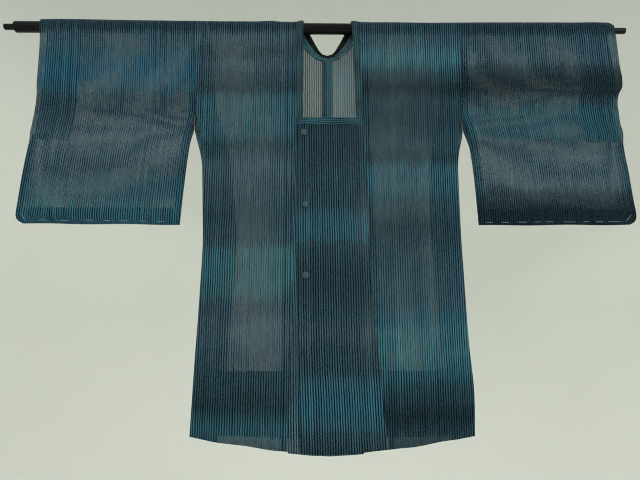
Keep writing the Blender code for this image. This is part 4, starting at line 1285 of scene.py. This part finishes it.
def make_studio():
    """A pale round backdrop that curves down into its floor, soft lights, and the camera."""
    curve = steps(0.0, math.pi / 2, 0.1)[1:]
    profile = [(0.0, -1.75), (2.6, -1.75)]
    profile += [(2.6 + 1.2 * math.sin(turn), -0.55 - 1.2 * math.cos(turn)) for turn in curve]
    profile += [(3.8, 3.2)]
    turned = bmesh.new()
    chain = [turned.verts.new((radius, 0, z)) for radius, z in profile]
    edges = [turned.edges.new(pair) for pair in zip(chain, chain[1:])]
    bmesh.ops.spin(turned, geom=chain + edges, axis=(0, 0, 1), angle=math.tau, steps=96, use_merge=True)
    bmesh.ops.remove_doubles(turned, verts=turned.verts, dist=0.0001)
    stage = shape_object("backdrop", turned, pale_plaster())
    stage.data.flip_normals()

    for name, place, size, power, colour in LIGHTS:
        light = bpy.data.lights.new(name, "AREA")
        light.size = size
        light.energy = power
        light.color = colour
        lamp = add_object(name, light)
        lamp.location = place
        lamp.rotation_euler = (Vector(LIGHTS_AIM) - Vector(place)).to_track_quat("-Z", "Y").to_euler()
        lamp.visible_camera = False

    world = bpy.data.worlds.new("pale_world")
    world.use_nodes = True
    background = world.node_tree.nodes["Background"].inputs
    background["Color"].default_value = (0.93, 0.95, 0.96, 1.0)
    background["Strength"].default_value = 0.55

    lens = bpy.data.cameras.new("camera")
    lens.sensor_width = 36.0
    lens.lens = 36.0 * 481.0 / 640.0
    camera = add_object("camera", lens)
    camera.location = (-0.0283, -1.002, -0.650)
    camera.rotation_euler = (math.radians(90 + 9.28), 0.0, math.radians(-0.66))

    scene = bpy.context.scene
    scene.world = world
    scene.camera = camera
    scene.view_settings.view_transform = "Standard"
    scene.cycles.transparent_max_bounces = 64
    scene.cycles.max_bounces = 8
    scene.cycles.use_denoising = True
    scene.cycles.pixel_filter_type = "BLACKMAN_HARRIS"
    scene.cycles.filter_width = 1.1


def dress(piece, slot, *nodes):
    """Rides a piece on the one body and hides the CAD nodes that it stands for. slot is not used."""
    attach(piece, "root")
    if nodes:
        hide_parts(*nodes)
    return piece


def main():
    gauze = {part: striped_gauze(part) for part in ("body_right", "body_left", "panel_over", "panel_under")}
    gauze |= {part: striped_gauze(part, SLEEVE_OPACITY) for part in ("sleeve_right", "sleeve_left")}
    neck_cloth = striped_gauze("band_neck", BAND_OPACITY, 0.34)
    level_cloth = striped_gauze("band_level", BAND_OPACITY, 0.34)
    facing_cloth = striped_gauze("facing", BAND_OPACITY, 0.34, highlight_edge=0.0022)
    rod = dress(make_rod(black_lacquer()), "black_rod", "rod")

    bodies = {}
    for side, name in ((-1, "body_right"), (1, "body_left")):
        piece, area = make_body("gauze_" + name, side, gauze[name])
        bodies[side] = dress(piece, "body_gauze", name)

    over, over_area = make_panel(
        "gauze_panel_over", lambda z: edge_at(OVER_FREE_EDGE, z),
        lambda z: edge_at(FRONT_EDGE[1], z) - SEAM_GAP / 2, HEM_DROP_FRONT, lap_lift, gauze["panel_over"],
    )
    under, under_area = make_panel(
        "gauze_panel_under", lambda z: edge_at(UNDER_FREE_EDGE, z),
        lambda z: edge_at(FRONT_EDGE[-1], z) + SEAM_GAP / 2, HEM_DROP_FRONT + UNDER_PANEL_DROP,
        lambda x, z: 0.0, gauze["panel_under"],
    )
    dress(over, "panel_gauze", "panel_left_over")
    dress(under, "panel_gauze", "panel_right_under")

    thread = sewing_thread()
    for side, name in ((-1, "sleeve_right"), (1, "sleeve_left")):
        piece, area = make_sleeve("gauze_" + name, side, gauze[name])
        dress(piece, "sleeve_gauze", name)
        stitches = dress(make_stitches("stitches_" + name, side, STITCHES[side], thread), "sleeve_gauze")

    collar = make_collar(neck_cloth, level_cloth, facing_cloth)
    nodes = (("collar_neck_band",), ("collar_band_over",), ("collar_band_under",), ())
    widths = (0.0165, 0.0155, 0.0155, 0.0084)
    holders = (rod, over, under, bodies[-1])
    for (piece, length), replaced, width, holder in zip(collar, nodes, widths, holders):
        dress(piece, "band_gauze", *replaced)

    button_cloth = covered_button_cloth()
    for number, place in enumerate(BUTTON_PLACES, 1):
        dress(make_button(number, place, button_cloth), "covered_button", f"button_{number}")

    make_studio()


main()
